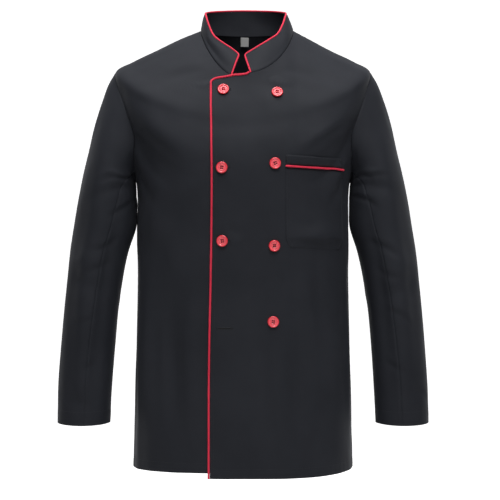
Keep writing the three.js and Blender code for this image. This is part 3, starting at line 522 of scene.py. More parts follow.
class TrunkForm:
    """The form of the jacket's trunk: station v up the side seam and degrees round it."""

    def __init__(self) -> None:
        """Makes the curves of the rings and of the lap's edge."""
        self.ring = Curves(TRUNK_NAMES, TRUNK_ROWS)
        self.lap_edge = Curves("x", LAP_EDGE_ROWS)
        self.slack = Slack(seed=11, height=0.4)

    def plain(self, v: Array, angle: Array) -> Array:
        """Points of the form without folds."""
        c, s = np.cos(np.radians(angle)), np.sin(np.radians(angle))
        n = self.ring.at("square", v)
        q = (np.abs(c) ** n + np.abs(s) ** n) ** (1 / n)
        depth = np.where(s < 0, self.ring.at("front", v), self.ring.at("back", v))
        middle = np.where(s < 0, self.ring.at("front_z", v), self.ring.at("back_z", v))
        side = self.ring.at("side_z", v)
        z = mix(side, middle, np.abs(s) ** self.ring.at("rise", v))
        x = self.ring.at("shift", v) + self.ring.at("half", v) * c / q
        return np.stack(np.broadcast_arrays(x, depth * s / q, z), axis=-1)

    def folded(self, v: Array, angle: Array) -> Array:
        """Points of the outside face with all its folds and creases."""
        fade = 1 - ease(v, 640, 740)
        height = fold_heights(TRUNK_FOLDS, TRUNK_DEGREE, angle, v) * fade
        height += crease_heights(TRUNK_CREASES, TRUNK_DEGREE, angle, v) * (1 - ease(v, 790, 822))
        height += self.slack.at(angle * TRUNK_DEGREE, v) * (1 - ease(v, 700, 800))
        n = normals_of(self.plain, v, angle, 2, 0.5)
        return self.plain(v, angle) + n * height[..., None]

    def normals(self, v: Array, angle: Array) -> Array:
        """Normals of the outside face."""
        return normals_of(self.folded, v, angle, 1.5, 0.4)

    def angle_at_x(self, v: Array, x: Array | float) -> Array:
        """The angle on the front at which the plain form has a given x."""
        n = self.ring.at("square", v)
        off = x - self.ring.at("shift", v)
        part = np.clip(np.abs(off) / self.ring.at("half", v), 1e-9, 0.9999)
        t = np.degrees(np.arctan((part**-n - 1) ** (1 / n)))
        return np.where(np.abs(off) < 1e-6, -90.0, np.where(off > 0, -t, t - 180))

    def angle_at_depth(self, v: Array, depth: Array | float, reach: Array) -> Array:
        """The angle from the side at which the plain form has a given depth."""
        n = self.ring.at("square", v)
        part = np.clip(depth / reach, 1e-6, 0.9999)
        return np.degrees(np.arctan(1 / (part**-n - 1) ** (1 / n)))

    def edge_angle(self, v: Array, front: bool) -> Array:
        """The angle from the side of the side seam, armhole or shoulder seam at station v."""
        t = np.clip((v - ARMPIT) / (SHOULDER - ARMPIT), 0, 1)
        reach = ARMHOLE_FRONT if front else ARMHOLE_BACK
        depth = np.maximum(JOIN / 2, reach * np.sin(np.pi * t) ** ARMHOLE_ROUND)
        return self.angle_at_depth(v, depth, self.ring.at("front" if front else "back", v))

    def seam_angle(self, v: Array, front: bool) -> Array:
        """The same without the armhole."""
        return self.angle_at_depth(v, JOIN / 2, self.ring.at("front" if front else "back", v))

    @staticmethod
    def cut_down(v: Array, drop: Array) -> Array:
        """The station moved down by the neckline's cut, over the yoke only."""
        return v - drop * ease(v, SHOULDER - 60, NECK)

    def under_cut(self, v: Array, angle: Array) -> Array:
        """The station to which the neckline of the front beneath is cut down."""
        cut = v
        for _ in range(8):
            x = self.plain(cut, angle)[..., 0]
            cut = self.cut_down(v, broken_line(UNDER_TOP_ROWS, x))
        return cut

    @staticmethod
    def lap_height(x: Array) -> Array:
        """How far the lap's outside stands above the plain outside face."""
        return (LAP_LIFT + WALL) * (1 - ease(x, LAP_LIFT_FROM, LAP_LIFT_TO))

    def station_at(self, x: Array, z: Array) -> Array:
        """The station on the front that has a given x and z."""
        x, z = np.broadcast_arrays(np.asarray(x, float), np.asarray(z, float))
        low, high = np.full(x.shape, -9.0), np.full(x.shape, 823.0)
        for _ in range(34):
            v = (low + high) / 2
            below = self.plain(v, self.angle_at_x(v, x))[..., 2] < z
            low, high = np.where(below, v, low), np.where(below, high, v)
        return (low + high) / 2

    def on_lap(self, x: Array, z: Array, high: Array | float = 0.0) -> tuple[Array, Array]:
        """Points and normals on the lap's outside face.

        Args:
            x: Places across, in mm.
            z: Heights, in mm.
            high: How far above the lap's outside face.

        Returns:
            The points and the normals there.
        """
        x, z = np.broadcast_arrays(np.asarray(x, float), np.asarray(z, float))
        v = self.station_at(x, z)
        angle = self.angle_at_x(v, x)
        n = self.normals(v, angle)
        lift = self.lap_height(x) + high
        return self.folded(v, angle) + n * lift[..., None], n


@dataclass
class Panel:
    """A piece of cloth as a grid of outside points, with its edges and wall."""

    name: str
    points: Array
    normals: Array
    wall: float
    edges: dict[Edge, Make]
    hem: float = 18.0
    stitch: float = 5.5
    seed: int = 1
    face: Array = field(init=False)
    across: Array = field(init=False)
    along: Array = field(init=False)

    def __post_init__(self) -> None:
        """Measures the grid and shapes the cloth at its edges."""
        steps = np.linalg.norm(np.diff(self.points, axis=1), axis=-1)
        self.across = np.concatenate([np.zeros((len(self.points), 1)), np.cumsum(steps, axis=1)], axis=1)
        steps = np.linalg.norm(np.diff(self.points, axis=0), axis=-1)
        self.along = np.concatenate([np.zeros((1, self.points.shape[1])), np.cumsum(steps, axis=0)], axis=0)
        height = np.zeros(self.points.shape[:2])
        for edge, made in self.edges.items():
            height += self.edge_height(self.distance(edge), self.run(edge), made)
        self.face = self.points + self.normals * height[..., None]

    def distance(self, edge: Edge) -> Array:
        """Distance of every grid point from an edge, in mm."""
        if edge is Edge.FIRST:
            return self.across
        if edge is Edge.LAST:
            return self.across[:, -1:] - self.across
        if edge is Edge.BOTTOM:
            return self.along
        return self.along[-1:] - self.along

    def run(self, edge: Edge) -> Array:
        """Distance of every grid point along an edge, in mm."""
        return self.along if edge in (Edge.FIRST, Edge.LAST) else self.across

    def edge_height(self, off: Array, run: Array, made: Make) -> Array:
        """What the sewing at an edge does to the height of the cloth.

        Args:
            off: Distance from the edge.
            run: Distance along it.
            made: How the edge is made up.

        Returns:
            Heights in mm, up or down.
        """
        rng = np.random.default_rng(self.seed)
        a, b, c = rng.uniform(0, 2 * np.pi, 3)
        pull = 0.5 + 0.5 * np.sin(run / 2.1 + 1.7 * np.sin(run / 17 + a) + b)
        pull *= 0.55 + 0.45 * np.sin(run / 31 + c)
        if made is Make.SEAM:
            roll = -0.62 * hump(off, 0, 1.15)
            ridge = 0.22 * hump(off, 4.2, 2.4)
            return roll + ridge - 0.34 * pull * hump(off, 1.5, 5.5)
        if made is Make.HEM:
            band = 0.3 * (1 - ease(off, self.hem - 1.2, self.hem + 0.6))
            line = -0.35 * hump(off, self.hem - 0.8, 1.5)
            twist = 0.28 * (pull - 0.4) * hump(off, self.hem * 0.6, self.hem * 0.55)
            return band + line + twist
        if made is Make.PIPED:
            return -0.05 * pull * hump(off, self.stitch, 4.0)
        if made is Make.PATCH:
            return -0.85 * hump(off, 0, 1.5) - 0.25 * pull * hump(off, self.stitch, 4.0)
        return -0.25 * hump(off, 0, 0.9)

    def row(self, edge: Edge, off: float, ends: tuple[float, float] = (0.0, 0.0)) -> tuple[Array, Array]:
        """A line on the cloth beside an edge.

        Args:
            edge: The edge that it runs beside.
            off: Its distance from the edge, in mm.
            ends: How much is left out at its two ends, in mm.

        Returns:
            Points and normals along the line.
        """
        distance = self.distance(edge)
        points, normals, run = self.face, self.normals, self.run(edge)
        if edge in (Edge.BOTTOM, Edge.TOP):
            distance, run = distance.T, run.T
            points, normals = points.transpose(1, 0, 2), normals.transpose(1, 0, 2)
        made, ways, runs = [], [], []
        for i in range(len(points)):
            order = slice(None, None, -1) if edge in (Edge.LAST, Edge.TOP) else slice(None)
            near = distance[i, order]
            made.append([np.interp(off, near, points[i, order, k]) for k in range(3)])
            ways.append([np.interp(off, near, normals[i, order, k]) for k in range(3)])
            runs.append(np.interp(off, near, run[i, order]))
        runs = np.array(runs)
        keep = (runs >= ends[0]) & (runs <= runs.max() - ends[1])
        return np.array(made)[keep], unit(np.array(ways))[keep]

    def mesh(self) -> bpy.types.Mesh:
        """The closed shell: outside, inside and a rounded rim between them."""
        inner = self.points - self.normals * self.wall
        rows, columns = self.points.shape[:2]
        ring = [(0, j) for j in range(columns)]
        ring += [(i, columns - 1) for i in range(1, rows)]
        ring += [(rows - 1, j) for j in range(columns - 2, -1, -1)]
        ring += [(i, 0) for i in range(rows - 2, 0, -1)]
        ri, rj = np.array(ring).T
        back_i = np.clip(ri, 1, rows - 2)
        back_j = np.clip(rj, 1, columns - 2)
        middle = (self.face[ri, rj] + inner[ri, rj]) / 2
        way = unit(self.points[ri, rj] - self.points[back_i, back_j])
        rim = middle + way * RIM * self.wall
        points = np.concatenate([self.face.reshape(-1, 3), inner.reshape(-1, 3), rim])
        flat = np.stack([self.across, self.along], axis=-1).reshape(-1, 2)
        uv = np.concatenate([flat, flat, flat.reshape(rows, columns, 2)[ri, rj]])
        index = np.arange(rows * columns).reshape(rows, columns)
        a, b, c, d = index[:-1, :-1], index[:-1, 1:], index[1:, 1:], index[1:, :-1]
        outside = np.stack([a, b, c, d], axis=-1).reshape(-1, 4)
        inside = outside[:, ::-1] + rows * columns
        outer_ring = index[ri, rj]
        inner_ring = outer_ring + rows * columns
        rim_ring = 2 * rows * columns + np.arange(len(ring))
        turn = np.roll(np.arange(len(ring)), -1)
        upper = np.stack([outer_ring[turn], outer_ring, rim_ring, rim_ring[turn]], axis=-1)
        lower = np.stack([rim_ring[turn], rim_ring, inner_ring, inner_ring[turn]], axis=-1)
        quads = np.concatenate([outside, inside, upper, lower])
        return solid_mesh(self.name, points, quads, uv)

    def area(self) -> float:
        """The outside face's area in square metres."""
        p = self.points * MM
        a, b, c, d = p[:-1, :-1], p[:-1, 1:], p[1:, 1:], p[1:, :-1]
        halves = np.cross(b - a, c - a), np.cross(c - a, d - a)
        return float(sum(np.linalg.norm(h, axis=-1).sum() for h in halves) / 2)


def solid_mesh(name: str, points: Array, faces: Array | list, uv: Array | None = None) -> bpy.types.Mesh:
    """A mesh in metres from points in mm, with its faces turned outwards.

    Args:
        name: The mesh's name.
        points: Vertices in mm.
        faces: Lists of vertex numbers.
        uv: Flat places of the vertices in mm, kept as metres.

    Returns:
        The mesh, smooth shaded.
    """
    mesh = bpy.data.meshes.new(name)
    listed = faces.tolist() if isinstance(faces, np.ndarray) else faces
    mesh.from_pydata((np.asarray(points) * MM).tolist(), [], listed)
    if uv is not None:
        layer = mesh.uv_layers.new(name="flat")
        loops = np.empty(len(mesh.loops), dtype=np.int32)
        mesh.loops.foreach_get("vertex_index", loops)
        layer.data.foreach_set("uv", (np.asarray(uv)[loops] * MM).astype(np.float32).ravel())
    shell = bmesh.new()
    shell.from_mesh(mesh)
    if shell.calc_volume(signed=True) < 0:
        bmesh.ops.reverse_faces(shell, faces=shell.faces)
    shell.to_mesh(mesh)
    shell.free()
    mesh.shade_smooth()
    return mesh


def ring_faces(rings: int, sides: int) -> list[tuple[int, ...]]:
    """Faces between the neighbouring rings of a round piece."""
    faces = []
    for i in range(rings - 1):
        for j in range(sides):
            k = (j + 1) % sides
            faces.append((i * sides + j, i * sides + k, (i + 1) * sides + k, (i + 1) * sides + j))
    return faces


def linear(code: str) -> tuple[float, float, float, float]:
    """A linear colour from sRGB hex."""
    parts = [int(code[i : i + 2], 16) / 255 for i in (1, 3, 5)]
    made = [p / 12.92 if p <= 0.04045 else ((p + 0.055) / 1.055) ** 2.4 for p in parts]
    return (*made, 1.0)


def bare_material(name: str) -> tuple[bpy.types.Material, bpy.types.NodeTree]:
    """A new material and its empty node tree."""
    made = bpy.data.materials.new(name)
    made.use_nodes = True
    made.node_tree.nodes.clear()
    return made, made.node_tree


def add(
    tree: bpy.types.NodeTree, kind: str, settings: dict | None = None, **inputs: object
) -> bpy.types.Node:
    """Adds a node with its settings and links.

    Args:
        tree: The node tree.
        kind: The node's type name.
        settings: Properties of the node.
        inputs: Socket names, spaces as underscores, or i and a number, to values or sockets.

    Returns:
        The new node.
    """
    node = tree.nodes.new(kind)
    for key, value in (settings or {}).items():
        setattr(node, key, value)
    for key, value in inputs.items():
        name = int(key[1:]) if key[0] == "i" and key[1:].isdigit() else key.replace("_", " ")
        socket = node.inputs[name]
        if isinstance(value, bpy.types.NodeSocket):
            tree.links.new(value, socket)
        else:
            socket.default_value = value
    return node


@dataclass(frozen=True)
class Twill:
    """Polyester and cotton twill, piece dyed: dull, with faint diagonal ribs and a little sheen."""

    name: str
    colour: str
    shade: str
    roughness: float
    sheen: float
    rib_mm: float = 1.5  # real ribs are 0.6 mm apart, drawn coarser so that a close view shows them
    rib_deep_mm: float = 0.01
    crumple_mm: float = 0.25  # how deep the crumples are
    specular: float = 0.22

    def material(self) -> bpy.types.Material:
        """The cloth's material, its weave on the piece's own flat places."""
        made, tree = bare_material(self.name)
        flat = add(tree, "ShaderNodeUVMap", {"uv_map": "flat"}).outputs["UV"]
        place = add(tree, "ShaderNodeTexCoord").outputs["Object"]
        rib = add(
            tree,
            "ShaderNodeTexWave",
            {"wave_type": "BANDS", "bands_direction": "DIAGONAL", "wave_profile": "SIN"},
            Vector=flat,
            Scale=2 * math.pi / (20 * self.rib_mm * MM) * math.sqrt(2),
            Distortion=1.2,
            Detail=2.0,
            Detail_Scale=3.0,
        )
        # Noise in yarns 1.1 mm apart, in patches of dye 11 cm wide and in crumples 3 cm wide
        yarn = add(tree, "ShaderNodeTexNoise", Vector=flat, Scale=900.0, Detail=3.0, Roughness=0.6)
        dye = add(tree, "ShaderNodeTexNoise", Vector=place, Scale=9.0, Detail=4.0, Roughness=0.6)
        crumple = add(tree, "ShaderNodeTexNoise", Vector=place, Scale=34.0, Detail=3.0, Roughness=0.55)
        both = add(
            tree,
            "ShaderNodeMath",
            {"operation": "ADD"},
            i0=rib.outputs["Fac"],
            i1=yarn.outputs["Fac"],
        )
        worn = add(tree, "ShaderNodeMath", {"operation": "MULTIPLY"}, i0=both.outputs[0], i1=0.16)
        patchy = add(tree, "ShaderNodeMath", {"operation": "ADD"}, i0=worn.outputs[0], i1=dye.outputs["Fac"])
        ramp = add(tree, "ShaderNodeMapRange", Value=patchy.outputs[0], From_Min=0.45, From_Max=1.0)
        colour = add(
            tree,
            "ShaderNodeMix",
            {"data_type": "RGBA"},
            Factor=ramp.outputs[0],
            i6=linear(self.shade),
            i7=linear(self.colour),
        )
        low = add(
            tree,
            "ShaderNodeBump",
            Height=crumple.outputs["Fac"],
            Distance=self.crumple_mm * MM,
            Strength=1.0,
        )
        fine = add(
            tree,
            "ShaderNodeBump",
            Height=both.outputs[0],
            Distance=self.rib_deep_mm * MM,
            Strength=1.0,
            Normal=low.outputs[0],
        )
        shader = add(
            tree,
            "ShaderNodeBsdfPrincipled",
            Base_Color=colour.outputs[2],
            Roughness=self.roughness,
            Sheen_Weight=self.sheen,
            Sheen_Roughness=0.45,
            Sheen_Tint=linear("#b9bcc8"),
            Specular_IOR_Level=self.specular,
            Normal=fine.outputs[0],
        )
        add(tree, "ShaderNodeOutputMaterial", Surface=shader.outputs[0])
        return made


@dataclass(frozen=True)
class SewingThread:
    """Spun polyester thread: a soft strand with a slight gloss."""

    name: str
    colour: str
    roughness: float = 0.55
    sheen: float = 0.05

    def material(self) -> bpy.types.Material:
        """The thread's material."""
        made, tree = bare_material(self.name)
        shader = add(
            tree,
            "ShaderNodeBsdfPrincipled",
            Base_Color=linear(self.colour),
            Roughness=self.roughness,
            Sheen_Weight=self.sheen,
        )
        add(tree, "ShaderNodeOutputMaterial", Surface=shader.outputs[0])
        return made


@dataclass(frozen=True)
class ButtonResin:
    """Cast polyester resin, turned and tumbled: bright, glossy and a little cloudy, its face painted lighter
    than the rim as a painted highlight.
    """

    name: str
    colour: str
    cloud: str
    # the rim's deeper red, outside the face's painted highlight
    rim: str
    roughness: float = 0.28
    highlight_mm: float = 7.6  # how far the painted highlight on the dished face reaches from the middle
    highlight_end_mm: float = 8.7  # where the painted highlight has given way to the rim's deeper red

    def material(self) -> bpy.types.Material:
        """The button's material, with clouds about 4 mm wide and a painted highlight that makes the face
        lighter than the rim.
        """
        made, tree = bare_material(self.name)
        place = add(tree, "ShaderNodeTexCoord").outputs["Object"]
        flat = add(tree, "ShaderNodeUVMap").outputs["UV"]
        cloud = add(tree, "ShaderNodeTexNoise", Vector=place, Scale=260.0, Detail=2.0, Roughness=0.5)
        colour = add(
            tree,
            "ShaderNodeMix",
            {"data_type": "RGBA"},
            Factor=cloud.outputs["Fac"],
            i6=linear(self.colour),
            i7=linear(self.cloud),
        )
        # The face inside the rim is painted lighter as a painted highlight; the rim keeps the deeper red
        across = add(tree, "ShaderNodeVectorMath", {"operation": "LENGTH"}, Vector=flat)
        edge = add(
            tree,
            "ShaderNodeMapRange",
            {"interpolation_type": "SMOOTHSTEP"},
            Value=across.outputs["Value"],
            From_Min=self.highlight_mm * MM,
            From_Max=self.highlight_end_mm * MM,
        )
        colour = add(
            tree,
            "ShaderNodeMix",
            {"data_type": "RGBA"},
            Factor=edge.outputs[0],
            i6=colour.outputs[2],
            i7=linear(self.rim),
        )
        shader = add(
            tree,
            "ShaderNodeBsdfPrincipled",
            Base_Color=colour.outputs[2],
            Roughness=self.roughness,
            IOR=1.52,
            Coat_Weight=0.25,
            Coat_Roughness=0.12,
        )
        add(tree, "ShaderNodeOutputMaterial", Surface=shader.outputs[0])
        return made


@dataclass(frozen=True)
class StudioPaper:
    """Matt seamless background paper, lit up evenly behind the jacket."""

    name: str
    colour: str
    glow: float = 0.8
    dark_until: float = 0.2  # metres behind the jacket at which the glow starts
    full_from: float = 1.4  # and at which it is full

    def material(self) -> bpy.types.Material:
        """The paper's material."""
        made, tree = bare_material(self.name)
        place = add(tree, "ShaderNodeTexCoord").outputs["Object"]
        depth = add(tree, "ShaderNodeSeparateXYZ", Vector=place).outputs["Y"]
        behind = add(
            tree,
            "ShaderNodeMapRange",
            {"interpolation_type": "SMOOTHSTEP"},
            Value=depth,
            From_Min=self.dark_until,
            From_Max=self.full_from,
            To_Max=self.glow,
        )
        shader = add(
            tree,
            "ShaderNodeBsdfPrincipled",
            Base_Color=linear(self.colour),
            Roughness=0.95,
            Emission_Color=linear("#ffffff"),
            Emission_Strength=behind.outputs[0],
        )
        add(tree, "ShaderNodeOutputMaterial", Surface=shader.outputs[0])
        return made


JACKET_TWILL = Twill("charcoal twill", "#282a30", "#1f2127", 0.74, 0.05)
PIPING_TWILL = Twill("red bias tape", "#ee3c56", "#d42c46", 0.7, 0.1, rib_mm=0.9, crumple_mm=0.08)
LABEL_TAPE = Twill("grey label tape", "#c4c5c4", "#b2b3b2", 0.8, 0.1, rib_mm=0.8, crumple_mm=0.05)
DARK_THREAD = SewingThread("charcoal thread", "#232429", 0.85)
RED_THREAD = SewingThread("red thread", "#5e0a16", 0.7)
GREY_THREAD = SewingThread("grey thread", "#9a9b9b")
# Not a thread but painted shade: the near-black strip laid in each buttonhole slit
SLIT_SHADE = SewingThread("buttonhole slit", "#0b0b0d", 0.95)
# The two lighter reds are the face with a painted highlight; the darker red is the rim
RED_RESIN = ButtonResin("red resin", "#ff5662", "#ff6a74", "#e01c2c")


class Dressing:
    """Puts finished pieces into the scene and ties them to the part."""

    def __init__(self) -> None:
        """Makes an empty store of materials."""
        self.made: dict[str, bpy.types.Material] = {}

    def finish(self, kind: Twill | SewingThread | ButtonResin) -> bpy.types.Material:
        """The one material of a finish."""
        if kind.name not in self.made:
            self.made[kind.name] = kind.material()
        return self.made[kind.name]

    def place(
        self,
        mesh: bpy.types.Mesh,
        kind: Twill | SewingThread | ButtonResin,
        slot: str,
        nodes: Sequence[str] = (),
    ) -> bpy.types.Object:
        """Adds an object for a mesh, unturned at the origin, and ties it to the part.

        Args:
            mesh: The mesh in metres.
            kind: Its finish.
            slot: The record's material slot; not used.
            nodes: CAD nodes that it stands for.

        Returns:
            The object.
        """
        if not mesh.materials:
            mesh.materials.append(self.finish(kind))
        piece = bpy.data.objects.new(mesh.name, mesh)
        bpy.context.scene.collection.objects.link(piece)
        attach(piece, "root")
        if nodes:
            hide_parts(*nodes)
        log.info("%s: %d faces", mesh.name, len(mesh.polygons))
        return piece


@dataclass
class StitchRow:
    """A row of stitches: points on the cloth, normals, and the way each stitch lies."""

    points: Array
    normals: Array
    ways: Array

    @classmethod
    def along(cls, points: Array, normals: Array) -> "StitchRow":
        """A row whose stitches lie along the line."""
        return cls(points, normals, unit(np.gradient(points, axis=0)))

    @classmethod
    def across(cls, points: Array, normals: Array) -> "StitchRow":
        """A row whose stitches lie across the line, as round a buttonhole."""
        ways = unit(np.cross(np.gradient(points, axis=0), normals))
        return cls(points, normals, ways)


class Sewing:
    """Stitches, set along their rows by Geometry Nodes."""

    def __init__(self, dressing: Dressing) -> None:
        """Builds the node tree.

        Args:
            dressing: Where finished pieces go.
        """
        self.dressing = dressing
        self.tree = self.stitch_tree()

    @staticmethod
    def stitch_tree() -> bpy.types.NodeTree:
        """A tree that puts a short thread at even distances along every line of a mesh."""
        tree = bpy.data.node_groups.new("stitches along a line", "GeometryNodeTree")
        face = tree.interface
        face.new_socket(name="Geometry", in_out="INPUT", socket_type="NodeSocketGeometry")
        for name, value in (("Pitch", 0.003), ("Stitch Length", 0.0024), ("Thread Radius", 0.0002)):
            socket = face.new_socket(name=name, in_out="INPUT", socket_type="NodeSocketFloat")
            socket.default_value = value
            socket.min_value = 0.00005
        face.new_socket(name="Thread", in_out="INPUT", socket_type="NodeSocketMaterial")
        face.new_socket(name="Geometry", in_out="OUTPUT", socket_type="NodeSocketGeometry")
        given = add(tree, "NodeGroupInput").outputs
        curve = add(tree, "GeometryNodeMeshToCurve", Mesh=given["Geometry"])
        even = add(
            tree,
            "GeometryNodeResampleCurve",
            {"mode": "LENGTH"},
            Curve=curve.outputs[0],
            Length=given["Pitch"],
        )
        way = add(tree, "GeometryNodeInputNamedAttribute", {"data_type": "FLOAT_VECTOR"}, Name="way")
        lift = add(tree, "GeometryNodeInputNamedAttribute", {"data_type": "FLOAT_VECTOR"}, Name="lift")
        turned = add(tree, "FunctionNodeAlignRotationToVector", {"axis": "X"}, Vector=way.outputs[0])
        upright = add(
            tree,
            "FunctionNodeAlignRotationToVector",
            {"axis": "Z", "pivot_axis": "X"},
            Rotation=turned.outputs[0],
            Vector=lift.outputs[0],
        )
        half = add(tree, "ShaderNodeMath", {"operation": "MULTIPLY"}, i0=given["Stitch Length"], i1=0.5)
        size = add(
            tree,
            "ShaderNodeCombineXYZ",
            X=half.outputs[0],
            Y=given["Thread Radius"],
            Z=given["Thread Radius"],
        )
        strand = add(tree, "GeometryNodeMeshIcoSphere", Radius=1.0, Subdivisions=1)
        placed = add(
            tree,
            "GeometryNodeInstanceOnPoints",
            Points=even.outputs[0],
            Instance=strand.outputs[0],
            Rotation=upright.outputs[0],
            Scale=size.outputs[0],
        )
        real = add(tree, "GeometryNodeRealizeInstances", Geometry=placed.outputs[0])
        soft = add(tree, "GeometryNodeSetShadeSmooth", i0=real.outputs[0])
        dyed = add(
            tree,
            "GeometryNodeSetMaterial",
            Geometry=soft.outputs[0],
            Material=given["Thread"],
        )
        add(tree, "NodeGroupOutput", i0=dyed.outputs[0])
        return tree

    def sew(
        self,
        name: str,
        rows: Sequence[StitchRow],
        kind: SewingThread,
        slot: str,
        pitch: float = 3.2,
        length: float = 2.6,
        radius: float = 0.24,
    ) -> bpy.types.Object:
        """Sews rows of stitches as one piece.

        Args:
            name: The piece's name.
            rows: The rows.
            kind: The thread.
            slot: The record's material slot.
            pitch: Distance from one stitch to the next, in mm.
            length: Length of a stitch.
            radius: The thread's radius.

        Returns:
            The stitches as a plain mesh object.
        """
        points = np.concatenate([r.points + r.normals * radius * 0.35 for r in rows])
        edges, start = [], 0
        for r in rows:
            edges += [(start + k, start + k + 1) for k in range(len(r.points) - 1)]
            start += len(r.points)
        guide = bpy.data.meshes.new(f"{name} guide")
        guide.from_pydata((points * MM).tolist(), edges, [])
        for key, values in (
            ("way", np.concatenate([r.ways for r in rows])),
            ("lift", np.concatenate([r.normals for r in rows])),
        ):
            layer = guide.attributes.new(key, "FLOAT_VECTOR", "POINT")
            layer.data.foreach_set("vector", values.astype(np.float32).ravel())
        holder = bpy.data.objects.new(f"{name} guide", guide)
        bpy.context.scene.collection.objects.link(holder)
        modifier = holder.modifiers.new("stitches", "NODES")
        modifier.node_group = self.tree
        values = {
            "Pitch": pitch * MM,
            "Stitch Length": length * MM,
            "Thread Radius": radius * MM,
            "Thread": self.dressing.finish(kind),
        }
        for item in self.tree.interface.items_tree:
            if item.item_type == "SOCKET" and item.in_out == "INPUT" and item.name in values:
                modifier[item.identifier] = values[item.name]
        bpy.context.view_layer.update()
        depsgraph = bpy.context.evaluated_depsgraph_get()
        mesh = bpy.data.meshes.new_from_object(holder.evaluated_get(depsgraph))
        mesh.name = name
        holder.modifiers.clear()
        bpy.data.objects.remove(holder)
        bpy.data.meshes.remove(guide)
        return self.dressing.place(mesh, kind, slot)


